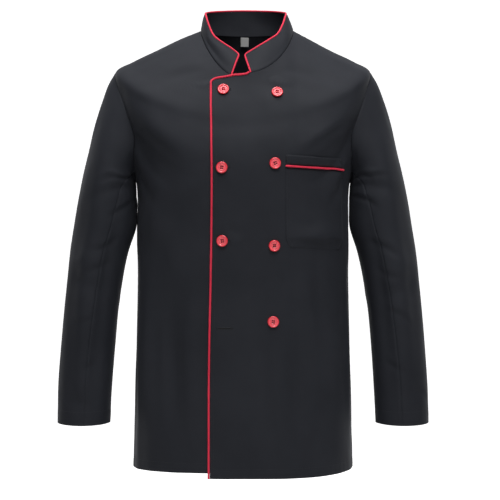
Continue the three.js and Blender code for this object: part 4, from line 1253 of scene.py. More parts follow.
@dataclass
class TrunkPanels:
    """The back and the two fronts."""

    form: TrunkForm
    dressing: Dressing
    step: float = 3.9
    hem: float = 17.0
    panels: dict[str, Panel] = field(default_factory=dict)

    def rows(self) -> tuple[Array, Array]:
        """Stations of the rows at the piece's side edge and in its middle."""
        side = stations(ARMPIT, self.step, last=False) * ARMPIT
        t = np.linspace(0, 1, round((SHOULDER - ARMPIT) / self.step) + 8)[1:]
        edge = mix(ARMPIT, SHOULDER, (1 - np.cos(np.pi * t)) / 2)
        middle = mix(ARMPIT, SHOULDER, t)
        yoke = mix(SHOULDER, NECK, stations(NECK - SHOULDER, self.step, first=False)[1:])
        return np.concatenate([side, edge, yoke]), np.concatenate([side, middle, yoke])

    def front_grid(self, ends: list[Line], wide: float, left: bool) -> tuple[Array, Array]:
        """Station and angle of a front's grid before its neckline is cut.

        Args:
            ends: x of each column line from the collar's end to the edge, by station.
            wide: Length from the side to the first of them, in mm.
            left: Whether it is the wearer's left front.

        Returns:
            Two grids.
        """
        at_edge, at_middle = self.rows()
        u = stations(wide, self.step, last=False)
        v = mix(at_edge[:, None], at_middle[:, None], ease(u, 0, 1)[None])
        plain = self.form.seam_angle(v, front=True)
        edge = self.form.edge_angle(at_edge, front=True)[:, None]
        end = self.form.angle_at_x(v, ends[0](v))
        angle = mix(plain, -end if left else end + 180, u[None])
        turned = angle + (edge - plain) * (1 - u[None]) ** 2
        angles = -turned if left else turned - 180
        rest = np.repeat(at_middle[:, None], len(ends) - 1, axis=1)
        far = [self.form.angle_at_x(at_middle, line(at_middle)) for line in ends[1:]]
        return np.concatenate([v, rest], axis=1), np.concatenate([angles, np.stack(far, axis=1)], axis=1)

    @staticmethod
    def between(first: Line, last: Line, t: float) -> Line:
        """A column line part of the way from one line to another."""
        return lambda v: mix(first(v), last(v), t)

    def lines(self, marks: list[Line]) -> list[Line]:
        """Column lines through marks, filled in evenly, with close ones at the last edge."""
        made = [marks[0]]
        chest = np.array([400.0])
        for k in range(len(marks) - 1):
            gap = float(abs(marks[k](chest) - marks[k + 1](chest))[0])
            last = k == len(marks) - 2
            if last:
                parts = stations(gap, self.step, first=False)[1:]
            else:
                parts = np.linspace(0, 1, max(1, round(gap / self.step)) + 1)[1:]
            made += [self.between(marks[k], marks[k + 1], float(t)) for t in parts]
        return made

    @staticmethod
    def constant(x: float) -> Line:
        """A column line at one x."""
        return lambda v: np.full(np.shape(v), x)

    def front_left(self) -> Panel:
        """The front that laps over, to its piped edge."""
        edge = lambda v: self.form.lap_edge.at("x", v) + LAP_INSET
        lines = self.lines([self.constant(x) for x in (COLLAR_END_LEFT, 10.4, -13, -36)] + [edge])
        plain, first = self.front_grid(lines, 300, left=True)
        x = self.form.plain(plain, first)[..., 0]
        v = self.form.cut_down(plain, broken_line(LAP_TOP_ROWS, x))
        wide = plain.shape[1] - len(lines)
        u = np.clip(np.arange(plain.shape[1]) / wide, 0, 1)
        v = v - LAP_DROP * ease(u, 0, 0.8)[None] * (1 - ease(plain, 0, 30))
        angle = first.copy()
        for k, line in enumerate(lines):
            angle[:, wide + k] = self.form.angle_at_x(v[:, wide + k], line(plain[:, wide + k]))
        lift = self.form.lap_height(self.form.plain(v, angle)[..., 0])
        normals = self.form.normals(v, angle)
        points = self.form.folded(v, angle) + normals * lift[..., None]
        edges = {
            Edge.BOTTOM: Make.HEM,
            Edge.FIRST: Make.SEAM,
            Edge.LAST: Make.PIPED,
        }
        return Panel("front_left", points, normals, WALL, edges, hem=self.hem, seed=3)

    def front_right(self) -> Panel:
        """The front that lies beneath."""
        lines = self.lines([self.constant(x) for x in (COLLAR_END_RIGHT, -16.8, 0, 20, 52)])
        plain, first = self.front_grid(lines, 270, left=False)
        v = self.form.under_cut(plain, first)
        angle = first.copy()
        wide = plain.shape[1] - len(lines)
        for k, line in enumerate(lines, wide):
            x = line(plain[:, k])
            v[:, k] = self.form.cut_down(plain[:, k], broken_line(UNDER_TOP_ROWS, x))
            angle[:, k] = self.form.angle_at_x(v[:, k], x)
        normals = self.form.normals(v, angle)
        points = self.form.folded(v, angle)
        edges = {Edge.BOTTOM: Make.HEM, Edge.FIRST: Make.SEAM, Edge.LAST: Make.RAW}
        return Panel("front_right", points, normals, WALL, edges, hem=self.hem, seed=4)

    def back(self) -> Panel:
        """The back, in one piece."""
        at_edge, at_middle = self.rows()
        u = stations(560, self.step)[None]
        v = mix(at_edge[:, None], at_middle[:, None], np.sin(np.pi * u) ** 0.8)
        plain = self.form.seam_angle(v, front=False)
        edge = self.form.edge_angle(at_edge, front=False)[:, None]
        shift = (edge - plain) * (1 - 2 * u) * np.abs(1 - 2 * u)
        angle = mix(plain, 180 - plain, u) + shift
        normals = self.form.normals(v, angle)
        points = self.form.folded(v, angle)
        edges = {
            Edge.BOTTOM: Make.HEM,
            Edge.TOP: Make.SEAM,
            Edge.FIRST: Make.SEAM,
            Edge.LAST: Make.SEAM,
        }
        return Panel("back", points, normals, WALL, edges, hem=self.hem, seed=5)

    def build(self) -> None:
        """Makes the three panels and dresses them."""
        for panel in (self.back(), self.front_left(), self.front_right()):
            self.panels[panel.name] = panel
            piece = self.dressing.place(panel.mesh(), JACKET_TWILL, "twill", [panel.name])
            log.info("%s: %.4f square metres", panel.name, panel.area())
            panel.area()

    def rows_of_stitches(self) -> list[StitchRow]:
        """Rows at the hems and beside the piped edge."""
        made = []
        for name in ("back", "front_left", "front_right"):
            made.append(StitchRow.along(*self.panels[name].row(Edge.BOTTOM, self.hem - 1.2, (2, 2))))
        made.append(StitchRow.along(*self.panels["front_left"].row(Edge.LAST, 1.6, (1, 1))))
        made.append(StitchRow.along(*self.panels["front_left"].row(Edge.LAST, 5.5, (1, 3))))
        return made


@dataclass
class Sleeve:
    """One two-piece sleeve. Its form is worked out for the wearer's left and mirrored."""

    form: TrunkForm
    side: Side
    dressing: Dressing
    length: float = 600.0
    radius: float = 55.0
    step: float = 3.9
    hem: float = 24.0
    panels: dict[str, Panel] = field(default_factory=dict)

    def __post_init__(self) -> None:
        """Makes the curves of the rings and seams, and the armhole's edge."""
        self.ring_rows = Curves(SLEEVE_NAMES, SLEEVE_ROWS)
        self.seams = Curves("front back", SLEEVE_SEAM_ROWS)
        self.flip = np.array([self.side.value, 1.0, 1.0])
        left = self.side is Side.LEFT
        self.folds = SLEEVE_FOLDS_LEFT if left else SLEEVE_FOLDS_RIGHT
        self.creases = SLEEVE_CREASES_LEFT if left else SLEEVE_CREASES_RIGHT
        self.slack = Slack(seed=21 if left else 22, height=0.35)
        self.turns = np.arange(-200.0, 580.0, 0.25)
        self.hole = np.concatenate(self.armhole_edge(self.turns), axis=1)

    def armhole_place(self, turn: Array) -> tuple[Array, Array]:
        """Station and angle on the trunk of the armhole's edge."""
        v = mix(ARMPIT, SHOULDER, (1 + np.cos(np.radians(turn))) / 2)
        front = np.sin(np.radians(turn)) < 0
        off = np.where(front, -self.form.edge_angle(v, True), self.form.edge_angle(v, False))
        return v, off if self.side is Side.LEFT else 180 - off

    def armhole(self, turn: Array) -> tuple[Array, Array, Array]:
        """The armhole's edge: point, the trunk's normal there and the way into the hole."""
        at = np.stack([np.interp(turn, self.turns, column) for column in self.hole.T], axis=-1)
        return at[..., :3], at[..., 3:6], at[..., 6:]

    def armhole_edge(self, turn: Array) -> tuple[Array, Array, Array]:
        """The same, worked out on the trunk."""
        v, angle = self.armhole_place(turn)
        point = self.form.folded(v, angle) * self.flip
        normal = self.form.normals(v, angle) * self.flip
        ahead = self.form.folded(*self.armhole_place(turn + 4)) * self.flip
        behind = self.form.folded(*self.armhole_place(turn - 4)) * self.flip
        across = unit(np.cross(ahead - behind, normal))
        outward = np.sum(across * (np.array(ARMHOLE_MIDDLE) - point), axis=-1) < 0
        return point, normal, np.where(outward[..., None], -across, across)

    def ring(self, s: Array, turn: Array) -> Array:
        """Points of the plain rings."""
        c, k = np.cos(np.radians(turn)), np.sin(np.radians(turn))
        get = lambda name: self.ring_rows.at(name, s)
        t = (1 - c) / 2
        x = mix(get("out_x"), get("in_x"), t)
        z = mix(get("out_z"), get("in_z"), t) - get("dip") * np.maximum(0, -k) ** 2
        y = get("y") + np.where(k < 0, get("front"), get("back")) * k
        return np.stack(np.broadcast_arrays(x, y, z), axis=-1)

    def plain(self, s: Array, turn: Array) -> Array:
        """Points of the sleeve without folds, joined to the armhole."""
        point, _, across = self.armhole(turn)
        start = point + across * JOIN
        share = (1 - ease(s, 0, 170))[..., None]
        return self.ring(s, turn) + (start - self.ring(np.zeros_like(s), turn)) * share

    def folded(self, s: Array, turn: Array) -> Array:
        """Points of the outside face with all its folds."""
        n = -normals_of(self.plain, s, turn, 1, 1)
        fade = ease(s, 8, 60) * (1 - ease(s, self.length - 25, self.length))
        height = fold_heights(self.folds, SLEEVE_DEGREE, turn, s) * fade
        height += crease_heights(self.creases, SLEEVE_DEGREE, turn, s) * ease(s, 4, 40)
        height += self.slack.at(turn * SLEEVE_DEGREE, s) * ease(s, 4, 60)
        return self.plain(s, turn) + n * height[..., None]

    def panel(self, part: str, start: Line, end: Line, wide: float) -> Panel:
        """One of the sleeve's two pieces.

        Args:
            part: Its name after the side.
            start: Degrees round the sleeve of its first seam, by distance down it.
            end: The same of its last seam.
            wide: Its greatest width, in mm.

        Returns:
            The panel.
        """
        s = (stations(self.length, self.step) * self.length)[:, None]
        u = stations(wide, self.step)[None]
        gap = math.degrees(JOIN / 2 / self.radius)
        turn = mix(start(s) + gap, end(s) - gap, u)
        s = np.repeat(s, u.shape[1], axis=1)
        points = self.folded(s, turn)
        normals = -normals_of(self.folded, np.maximum(s, 1), turn, 1, 1)
        _, trunk, across = self.armhole(turn)
        lean = (np.arccos(np.cos(np.radians(turn))) / 2)[..., None]
        head = trunk * np.cos(lean) - across * np.sin(lean)
        normals = unit(mix(head, normals, ease(s, 0, 9)[..., None]))
        edges = {
            Edge.BOTTOM: Make.SEAM,
            Edge.TOP: Make.HEM,
            Edge.FIRST: Make.SEAM,
            Edge.LAST: Make.SEAM,
        }
        name = f"sleeve_{self.side.name.lower()}_{part}"
        seed = 30 + (self.side is Side.LEFT) * 2 + (part == "top")
        return Panel(name, points * self.flip, normals * self.flip, WALL, edges, hem=self.hem, seed=seed)

    def build(self) -> None:
        """Makes both pieces and dresses them."""
        front = lambda s: self.seams.at("front", s)
        back = lambda s: self.seams.at("back", s)
        turned = lambda s: self.seams.at("front", s) + 360
        for part, start, end, wide in (("top", front, back, 250), ("under", back, turned, 130)):
            panel = self.panel(part, start, end, wide)
            self.panels[part] = panel
            piece = self.dressing.place(panel.mesh(), JACKET_TWILL, "twill", [panel.name])
            log.info("%s: %.4f square metres", panel.name, panel.area())
            panel.area()

    def rows_of_stitches(self) -> list[StitchRow]:
        """The row that holds the cuff's hem."""
        return [StitchRow.along(*p.row(Edge.TOP, self.hem - 1.2, (1, 1))) for p in self.panels.values()]


@dataclass
class StandCollar:
    """The stand collar, between its two piped front edges."""

    form: TrunkForm
    dressing: Dressing
    shift: float = 4.5
    half: float = 69.5
    front: float = 72.0
    back: float = 57.0
    side_z: float = 36.0
    back_z: float = 48.0
    top_right: float = -3.6
    top_left: float = 0.4
    around: float = 330.0
    height: float = 42.0
    rows: int = 24
    columns: int = 170
    panel: Panel | None = None

    def top(self, angle: Array) -> Array:
        """Points of the top edge at angles round it."""
        c, s = np.cos(np.radians(angle)), np.sin(np.radians(angle))
        left = angle < -270
        turn = np.degrees(np.arccos(np.clip(np.where(left, c, -c), -1, 1)))
        rows = Curves("right left", COLLAR_TOP_ROWS)
        high = np.where(left, rows.at("left", turn), rows.at("right", turn))
        z = np.where(s < 0, high, self.side_z + (self.back_z - self.side_z) * s)
        y = s * np.where(s < 0, self.front, self.back)
        return np.stack([self.shift + self.half * c, y, z], axis=-1)

    def foot(self, c: Array) -> Array:
        """Angle on the trunk's neckline at a fraction round the collar."""
        x = COLLAR_END_RIGHT - COLLAR_INSET
        start = self.form.angle_at_x(np.array(NECK - broken_line(UNDER_TOP_ROWS, x)), x)
        end = self.form.angle_at_x(np.array(NECK), COLLAR_END_LEFT + COLLAR_INSET) - 360
        return mix(start, end, c)

    def neck(self, angle: Array) -> Array:
        """Station of the neck seam, lower where the front beneath is cut down."""
        top = np.full(np.shape(angle), NECK)
        return np.where(angle > -180, self.form.under_cut(top, angle), top)

    def at(self, h: Array, c: Array) -> Array:
        """Points of the outside face, h from 0 at the neck seam to 1 at the top edge."""
        h, c = np.broadcast_arrays(h, c)
        reach = lambda x: -np.degrees(np.arccos((x - self.shift) / self.half))
        start = reach(self.top_right - COLLAR_INSET)
        end = reach(self.top_left + COLLAR_INSET) - 360
        low = self.foot(c)
        neck = self.neck(low)
        base = self.form.folded(neck, low)
        rise = unit(base - self.form.folded(neck - 2, low))
        base = base + rise * (JOIN + np.where(base[..., 1:2] < 0, 0.35, 0.1))
        lift = np.where(base[..., 1] < 0, ease(base[..., 0], -6, 6), 0) * self.form.lap_height(base[..., 0])
        base = base + self.form.normals(neck, low) * lift[..., None]
        point = mix(base, self.top(mix(start, end, c)), h[..., None])
        out = unit(point * np.array([1, 1, 0]))
        wave = 0.5 * np.sin(c * 23 + 1) * np.sin(np.pi * h) + 0.35 * np.sin(c * 47 + 2.2 * h)
        slump = (1.4 * hump(h, 0.7, 0.2) - 1.6 * hump(h, 0.24, 0.16)) * hump(c, 0.1, 0.08)
        return point + out * ((1.6 + wave + slump) * np.sin(np.pi * h))[..., None]

    def build(self) -> None:
        """Makes the collar and dresses it."""
        c = stations(self.around, self.around / self.columns)[None]
        length = np.linalg.norm(self.at(np.ones(c.shape), c) - self.at(np.zeros(c.shape), c), axis=-1)
        h = stations(self.height, self.height / self.rows)[:, None] * (1 - COLLAR_INSET / length)
        c = np.broadcast_to(c, h.shape)
        points = self.at(h, c)
        normals = normals_of(self.at, np.maximum(h, 0.02), c, 0.01, 0.001)
        out = np.sum(normals * points * np.array([1, 1, 0]), axis=-1, keepdims=True)
        normals = np.where(out < 0, -normals, normals)
        neck = self.form.normals(self.neck(self.foot(c)), self.foot(c))
        normals = unit(normals + neck * (1 - ease(h, 0, 0.12))[..., None])
        edges = {
            Edge.BOTTOM: Make.SEAM,
            Edge.TOP: Make.PIPED,
            Edge.FIRST: Make.PIPED,
            Edge.LAST: Make.PIPED,
        }
        self.panel = Panel("collar", points, normals, COLLAR_WALL, edges, stitch=2.0, seed=8)
        piece = self.dressing.place(self.panel.mesh(), JACKET_TWILL, "twill", ["collar"])
        log.info("collar: %.4f square metres", self.panel.area())
        self.panel.area()

    def rows_of_stitches(self) -> list[StitchRow]:
        """The row beside the piping, along the top and both ends."""
        edges = (Edge.TOP, Edge.FIRST, Edge.LAST)
        return [StitchRow.along(*self.panel.row(edge, 1.8, (2, 2))) for edge in edges]


@dataclass
class Piping:
    """Red bias tape over a cord, let into the edges of the lap, the collar and the pocket."""

    form: TrunkForm
    dressing: Dressing
    sides: int = 14
    step: float = 1.6

    @staticmethod
    def beside(panel: Panel, edge: Edge, radius: float, lift: float) -> Array:
        """The middle line of a cord beside an edge of a panel."""
        middle = panel.points - panel.normals * panel.wall / 2
        if edge in (Edge.TOP, Edge.BOTTOM):
            middle, normals = middle.transpose(1, 0, 2), panel.normals.transpose(1, 0, 2)
        else:
            normals = panel.normals
        last = edge in (Edge.TOP, Edge.LAST)
        at, inside = (middle[:, -1], middle[:, -4]) if last else (middle[:, 0], middle[:, 3])
        up = normals[:, -1] if last else normals[:, 0]
        along = unit(np.gradient(at, axis=0))
        way = at - inside
        way = unit(way - along * np.sum(way * along, axis=-1, keepdims=True))
        return at + way * (radius + CORD_GAP) + up * lift

    def even(self, points: Array) -> Array:
        """The line with even steps and its corners rounded."""
        for _ in range(2):
            length = np.concatenate([[0], np.cumsum(np.linalg.norm(np.diff(points, axis=0), axis=1))])
            count = max(8, round(length[-1] / self.step))
            at = np.linspace(0, length[-1], count)
            points = np.stack([np.interp(at, length, points[:, k]) for k in range(3)], axis=1)
            ends = points[[0, -1]]
            padded = np.concatenate([points[:1], points[:1], points, points[-1:], points[-1:]])
            points = sum(w * padded[i : i + count] for i, w in enumerate((0.1, 0.22, 0.36, 0.22, 0.1)))
            points[[0, -1]] = ends
        return points

    def tube(self, name: str, line: Array, radius: float, seed: int) -> bpy.types.Mesh:
        """A closed round cord along a line.

        Args:
            name: The mesh's name.
            line: Points of its middle, in mm.
            radius: Its radius.
            seed: Chooses its slight unevenness.

        Returns:
            The mesh.
        """
        line = self.even(line)
        along = unit(np.gradient(line, axis=0))
        side = np.zeros_like(line)
        side[0] = unit(np.cross(along[0], [0.3, 0.2, 0.9]))
        for k in range(1, len(line)):
            carried = side[k - 1] - along[k] * np.dot(side[k - 1], along[k])
            side[k] = carried / np.linalg.norm(carried)
        up = np.cross(along, side)
        length = np.concatenate([[0], np.cumsum(np.linalg.norm(np.diff(line, axis=0), axis=1))])
        rng = np.random.default_rng(seed)
        a, b = rng.uniform(0, 6.28, 2)
        swell = 1 + 0.03 * np.sin(length / 2.3 + 2 * np.sin(length / 13 + a)) + 0.02 * np.sin(length / 9 + b)
        turn = np.linspace(0, 2 * np.pi, self.sides, endpoint=False)
        ring = side[:, None] * np.cos(turn)[None, :, None] + up[:, None] * np.sin(turn)[None, :, None]
        body = line[:, None] + ring * (radius * swell)[:, None, None]
        caps = np.array([line[0] - along[0] * radius * 0.4, line[-1] + along[-1] * radius * 0.4])
        points = np.concatenate([body.reshape(-1, 3), caps])
        rows, n = len(line), self.sides
        faces = ring_faces(rows, n)
        faces += [(rows * n, (j + 1) % n, j) for j in range(n)]
        far = (rows - 1) * n
        faces += [(rows * n + 1, far + j, far + (j + 1) % n) for j in range(n)]
        flat = np.stack(np.broadcast_arrays(turn[None] * radius, length[:, None]), axis=-1).reshape(-1, 2)
        uv = np.concatenate([flat, [[0, 0], [0, length[-1]]]])
        return solid_mesh(name, points, faces, uv)

    def build(self, lap: Panel, collar: Panel, pocket_line: Array) -> None:
        """Makes the three cords.

        Args:
            lap: The front that laps over.
            collar: The collar.
            pocket_line: The middle line of the pocket's piping.
        """
        lift = LAP_CORD + 0.45 - LAP_LIFT - WALL / 2
        top = self.beside(lap, Edge.TOP, LAP_CORD, lift)
        keep = lap.points[-1, :, 0] <= COLLAR_END_LEFT + 0.1
        down = self.beside(lap, Edge.LAST, LAP_CORD, lift)[::-1]
        corner = (top[-1] + down[0]) - (lap.points[-1, -1] - lap.normals[-1, -1] * WALL / 2)
        line = np.concatenate([top[keep], [mix(corner, (top[-1] + down[0]) / 2, 0.3)], down])
        mesh = self.tube("lap_piping", line, LAP_CORD, 41)
        self.dressing.place(mesh, PIPING_TWILL, "piping", ["lap_piping"])
        right = self.beside(collar, Edge.FIRST, COLLAR_CORD, 0)
        over = self.beside(collar, Edge.TOP, COLLAR_CORD, 0)
        left = self.beside(collar, Edge.LAST, COLLAR_CORD, 0)[::-1]
        tips = [(right[-1] + over[0]) / 2, (over[-1] + left[0]) / 2]
        line = np.concatenate([right[2:], [tips[0]], over, [tips[1]], left[:-2]])
        mesh = self.tube("collar_piping", line, COLLAR_CORD, 42)
        self.dressing.place(mesh, PIPING_TWILL, "piping", ["collar_piping"])
        mesh = self.tube("pocket_piping", pocket_line, POCKET_CORD, 43)
        self.dressing.place(mesh, PIPING_TWILL, "piping", ["pocket_piping"])


@dataclass
class ChestPocket:
    """The patch pocket with its header band, on the wearer's left chest."""

    form: TrunkForm
    dressing: Dressing
    inner: float = 70.0
    outer: float = 167.0
    top: float = -217.0
    slope: float = 4.0
    band: float = 16.0
    pipe: float = 3.6
    bottom: float = -369.0
    corner: float = 5.0
    wall: float = 1.0
    step: float = 2.2
    panels: dict[str, Panel] = field(default_factory=dict)

    def line_z(self, z: float, x: Array) -> Array:
        """The height of one of its sloping lines at x."""
        return z - self.slope * (x - self.inner) / (self.outer - self.inner)

    def patch(self, name: str, top: float, bottom: float, wall: float, corner: float, seed: int) -> Panel:
        """A patch on the lap between two heights, its lower corners cut off.

        Args:
            name: Its node's name.
            top: Height of its top edge at the inner side.
            bottom: Height of its bottom edge there.
            wall: Its thickness.
            corner: How far the lower corners are taken in.
            seed: Chooses the puckers at its edges.

        Returns:
            The panel.
        """
        u = stations(self.outer - self.inner, self.step)[None]
        t = stations(top - bottom, self.step)[:, None]
        cut = corner * (1 - ease(t * (top - bottom), 0, 16))
        x = mix(self.inner + cut, self.outer - cut, u)
        z = mix(self.line_z(bottom, x), self.line_z(top, x), t)
        bulge = np.sin(np.pi * u) ** 0.7 * np.sin(np.pi * np.clip(t, 0, 1)) ** 0.7
        high = 0.12 + wall + 0.6 * bulge + 0.5 * ease(x, self.outer - 17, self.outer)
        if corner:
            # The pocket's foot sags forwards, and a soft fold crosses it higher up
            sag = hump((z + 352) / np.where(z > -352, 20, 8), 0, 1) * hump(x, 122, 32)
            fold = hump(z + 0.35 * (x - 100), -318, 14) * hump(x, 104, 20)
            high = high + 9.0 * sag + 1.2 * fold
        else:
            # The band's top edge stands off a little
            high = high + 1.7 * np.sin(np.pi * u) ** 0.6 * t**2
        points, normals = self.form.on_lap(x, z, high)
        steps = np.gradient(points, axis=1), np.gradient(points, axis=0)
        turned = unit(np.cross(*steps))
        normals = np.where(np.sum(turned * normals, axis=-1, keepdims=True) < 0, -turned, turned)
        edges = dict.fromkeys((Edge.BOTTOM, Edge.TOP, Edge.FIRST, Edge.LAST), Make.PATCH)
        return Panel(name, points, normals, wall, edges, stitch=2.2, seed=seed)

    def piping_line(self) -> Array:
        """The middle line of the cord between the band and the pocket."""
        x = np.linspace(self.inner, self.outer, 50)
        z = self.line_z(self.top - self.band - CORD_GAP - self.pipe / 2, x)
        return self.form.on_lap(x, z, CORD_GAP + POCKET_CORD + 0.45)[0]

    def build(self) -> None:
        """Makes the pocket and its band."""
        low = self.top - self.band
        body_top = low - self.pipe - 2 * CORD_GAP
        for panel in (
            self.patch("pocket_band", self.top, low, self.wall + 0.2, 0, 51),
            self.patch("pocket_body", body_top, self.bottom, self.wall, self.corner, 52),
        ):
            self.panels[panel.name] = panel
            piece = self.dressing.place(panel.mesh(), JACKET_TWILL, "twill", [panel.name])
            log.info("%s: %.5f square metres", panel.name, panel.area())

    def rows_of_stitches(self) -> list[StitchRow]:
        """Rows round the pocket and the band."""
        body, band = self.panels["pocket_body"], self.panels["pocket_band"]
        sides = (Edge.FIRST, Edge.LAST)
        places = [(body, edge, 1.6) for edge in (Edge.BOTTOM, *sides)]
        places += [(body, edge, 6.4) for edge in sides]
        places += [(band, edge, 1.6) for edge in (Edge.TOP, *sides)]
        return [StitchRow.along(*panel.row(edge, off, (1, 1))) for panel, edge, off in places]

    def bar_rows(self) -> list[StitchRow]:
        """Tight bars that hold the two top corners."""
        made = []
        for x in (self.inner + 1.6, self.outer - 1.6):
            z = np.linspace(0, -7, 12) + self.line_z(self.top, np.array(x)) - 0.8
            made.append(StitchRow.across(*self.form.on_lap(np.full(12, x), z, 2.3)))
        return made


@dataclass
class NeckLabel:
    """A small bare woven label, sewn in at the back of the neck and hanging from its top."""

    form: TrunkForm
    dressing: Dressing
    width: float = 14.0
    height: float = 15.5
    x: float = 2.5
    below: float = 1.6
    thick: float = 0.7
    lean: float = 0.28
    panel: Panel | None = None

    def build(self) -> None:
        """Makes the label."""
        v = np.array(NECK - self.below)
        u = stations(self.width, 1.0)[None]
        t = stations(self.height, 1.0)[:, None]
        x = self.x + self.width * (u - 0.5)
        angle = -self.form.angle_at_x(v, x)
        at = np.full(angle.shape, float(v))
        top = self.form.folded(at, angle) - self.form.normals(at, angle) * (WALL + CORD_GAP + 0.4)
        down = self.height * (1 - t)
        curl = 0.5 * np.sin(np.pi * u) * (1 - t)
        way = np.stack(np.broadcast_arrays(0 * u * t, self.lean * down - curl, -down + 0 * u), axis=-1)
        points = top + way
        normals = np.broadcast_to(unit(np.array([0.0, -1.0, -0.27])), points.shape).copy()
        edges = {Edge.TOP: Make.RAW, Edge.FIRST: Make.RAW, Edge.LAST: Make.RAW}
        self.panel = Panel("label", points, normals, self.thick, edges, seed=61)
        piece = self.dressing.place(self.panel.mesh(), LABEL_TAPE, "label_tape", ["label"])

    def rows_of_stitches(self) -> list[StitchRow]:
        """The short row that holds the label."""
        return [StitchRow.along(*self.panel.row(Edge.TOP, 1.3, (0.8, 0.8)))]


@dataclass
class Buttons:
    """Red four-hole buttons with a raised rim."""

    form: TrunkForm
    dressing: Dressing
    radius: float = 9.5
    thick: float = 3.2
    dish: float = 0.9
    hole: float = 1.25
    spread: float = 1.575
    hole_sides: int = 10
    around: int = 48
    threads: list[StitchRow] = field(default_factory=list)

    def shape(self) -> tuple[Array, list]:
        """Points and faces of a button whose back is on z = 0.

        Returns:
            Points in mm, first the rings from the back over the rim to the face, and the faces.
        """
        n, r, t = self.around, self.radius, self.thick
        floor = t - self.dish
        profile = [
            (0.62 * r, 0.0),
            (0.80 * r, 0.12 * t),
            (0.94 * r, 0.30 * t),
            (0.995 * r, 0.50 * t),
            (1.0 * r, 0.64 * t),
            (0.975 * r, 0.82 * t),
            (0.92 * r, 0.95 * t),
            (0.85 * r, t),
            (0.77 * r, 0.97 * t),
            (0.71 * r, floor + 0.20 * self.dish),
            (0.66 * r, floor - 0.35),
            (0.61 * r, floor - 0.35),
            (0.56 * r, floor),
        ]
        turn = np.linspace(0, 2 * np.pi, n, endpoint=False)
        circle = np.stack([np.cos(turn), np.sin(turn)], axis=1)
        points = [(*(spot * reach), high) for reach, high in profile for spot in circle]
        faces = ring_faces(len(profile), n)
        holes = self.hole_sides
        small = np.linspace(0, 2 * np.pi, holes, endpoint=False)
        ring = np.stack([np.cos(small), np.sin(small)], axis=1) * self.hole
        centres = [(i * self.spread, j * self.spread) for i in (-1, 1) for j in (-1, 1)]
        rings = [ring + centre for centre in centres]
        for high, first, flip in ((floor, (len(profile) - 1) * n, False), (0.0, 0, True)):
            outer = np.array(points[first : first + n])[:, :2]
            flat = [Vector(p) for p in outer] + [Vector(p) for part in rings for p in part]
            loops = [list(range(n))] + [list(range(n + h * holes, n + (h + 1) * holes)) for h in range(4)]
            edges = [(loop[k], loop[(k + 1) % len(loop)]) for loop in loops for k in range(len(loop))]
            verts, _, cells, _, _, _ = delaunay_2d_cdt(flat, edges, [], 1, 1e-6, False)
            base = len(points)
            index = [first + k if k < n else base + k - n for k in range(len(verts))]
            points += [(v.x, v.y, high) for v in verts[n:]]
            for cell in cells:
                middle = sum((verts[k] for k in cell), Vector((0, 0))) / len(cell)
                if min(math.dist(middle, centre) for centre in centres) > self.hole * 0.97:
                    face = [index[k] for k in cell]
                    faces.append(tuple(reversed(face)) if flip else tuple(face))
            if not flip:
                upper = base
        lower = len(points) - 4 * holes
        for h in range(4):
            for k in range(holes):
                m = (k + 1) % holes
                a, b = upper + h * holes + k, upper + h * holes + m
                c, d = lower + h * holes + m, lower + h * holes + k
                faces.append((a, b, c, d))
        return np.array(points, float), faces

    def build(self) -> None:
        """Makes the seven buttons and works out where their threads lie."""
        shape, faces = self.shape()
        for number, ((x, z), degrees) in enumerate(zip(BUTTON_PLACES, BUTTON_TURNS), 1):
            point, normal = self.form.on_lap(np.array([x]), np.array([z]), 0.46)
            n = normal[0]
            right = unit(np.cross([0, 0, 1.0], n))
            up = np.cross(n, right)
            tilt = math.radians(degrees)
            a = right * math.cos(tilt) + up * math.sin(tilt)
            b = up * math.cos(tilt) - right * math.sin(tilt)
            turn = np.stack([a, b, n])
            mesh = solid_mesh(f"button_{number}", point[0] + shape @ turn, faces, shape[:, :2])
            self.dressing.place(mesh, RED_RESIN, "button", [f"button_{number}"])
            floor = self.thick - self.dish + 0.16
            for side in (-1, 1):
                for shift in (-0.2, 0.2):
                    middle = np.array([0, side * self.spread + shift, floor + 0.1])
                    line = point[0] + middle @ turn + np.stack([a, -a]) * 0.01
                    self.threads.append(StitchRow(line, np.stack([n, n]), np.stack([a, a])))


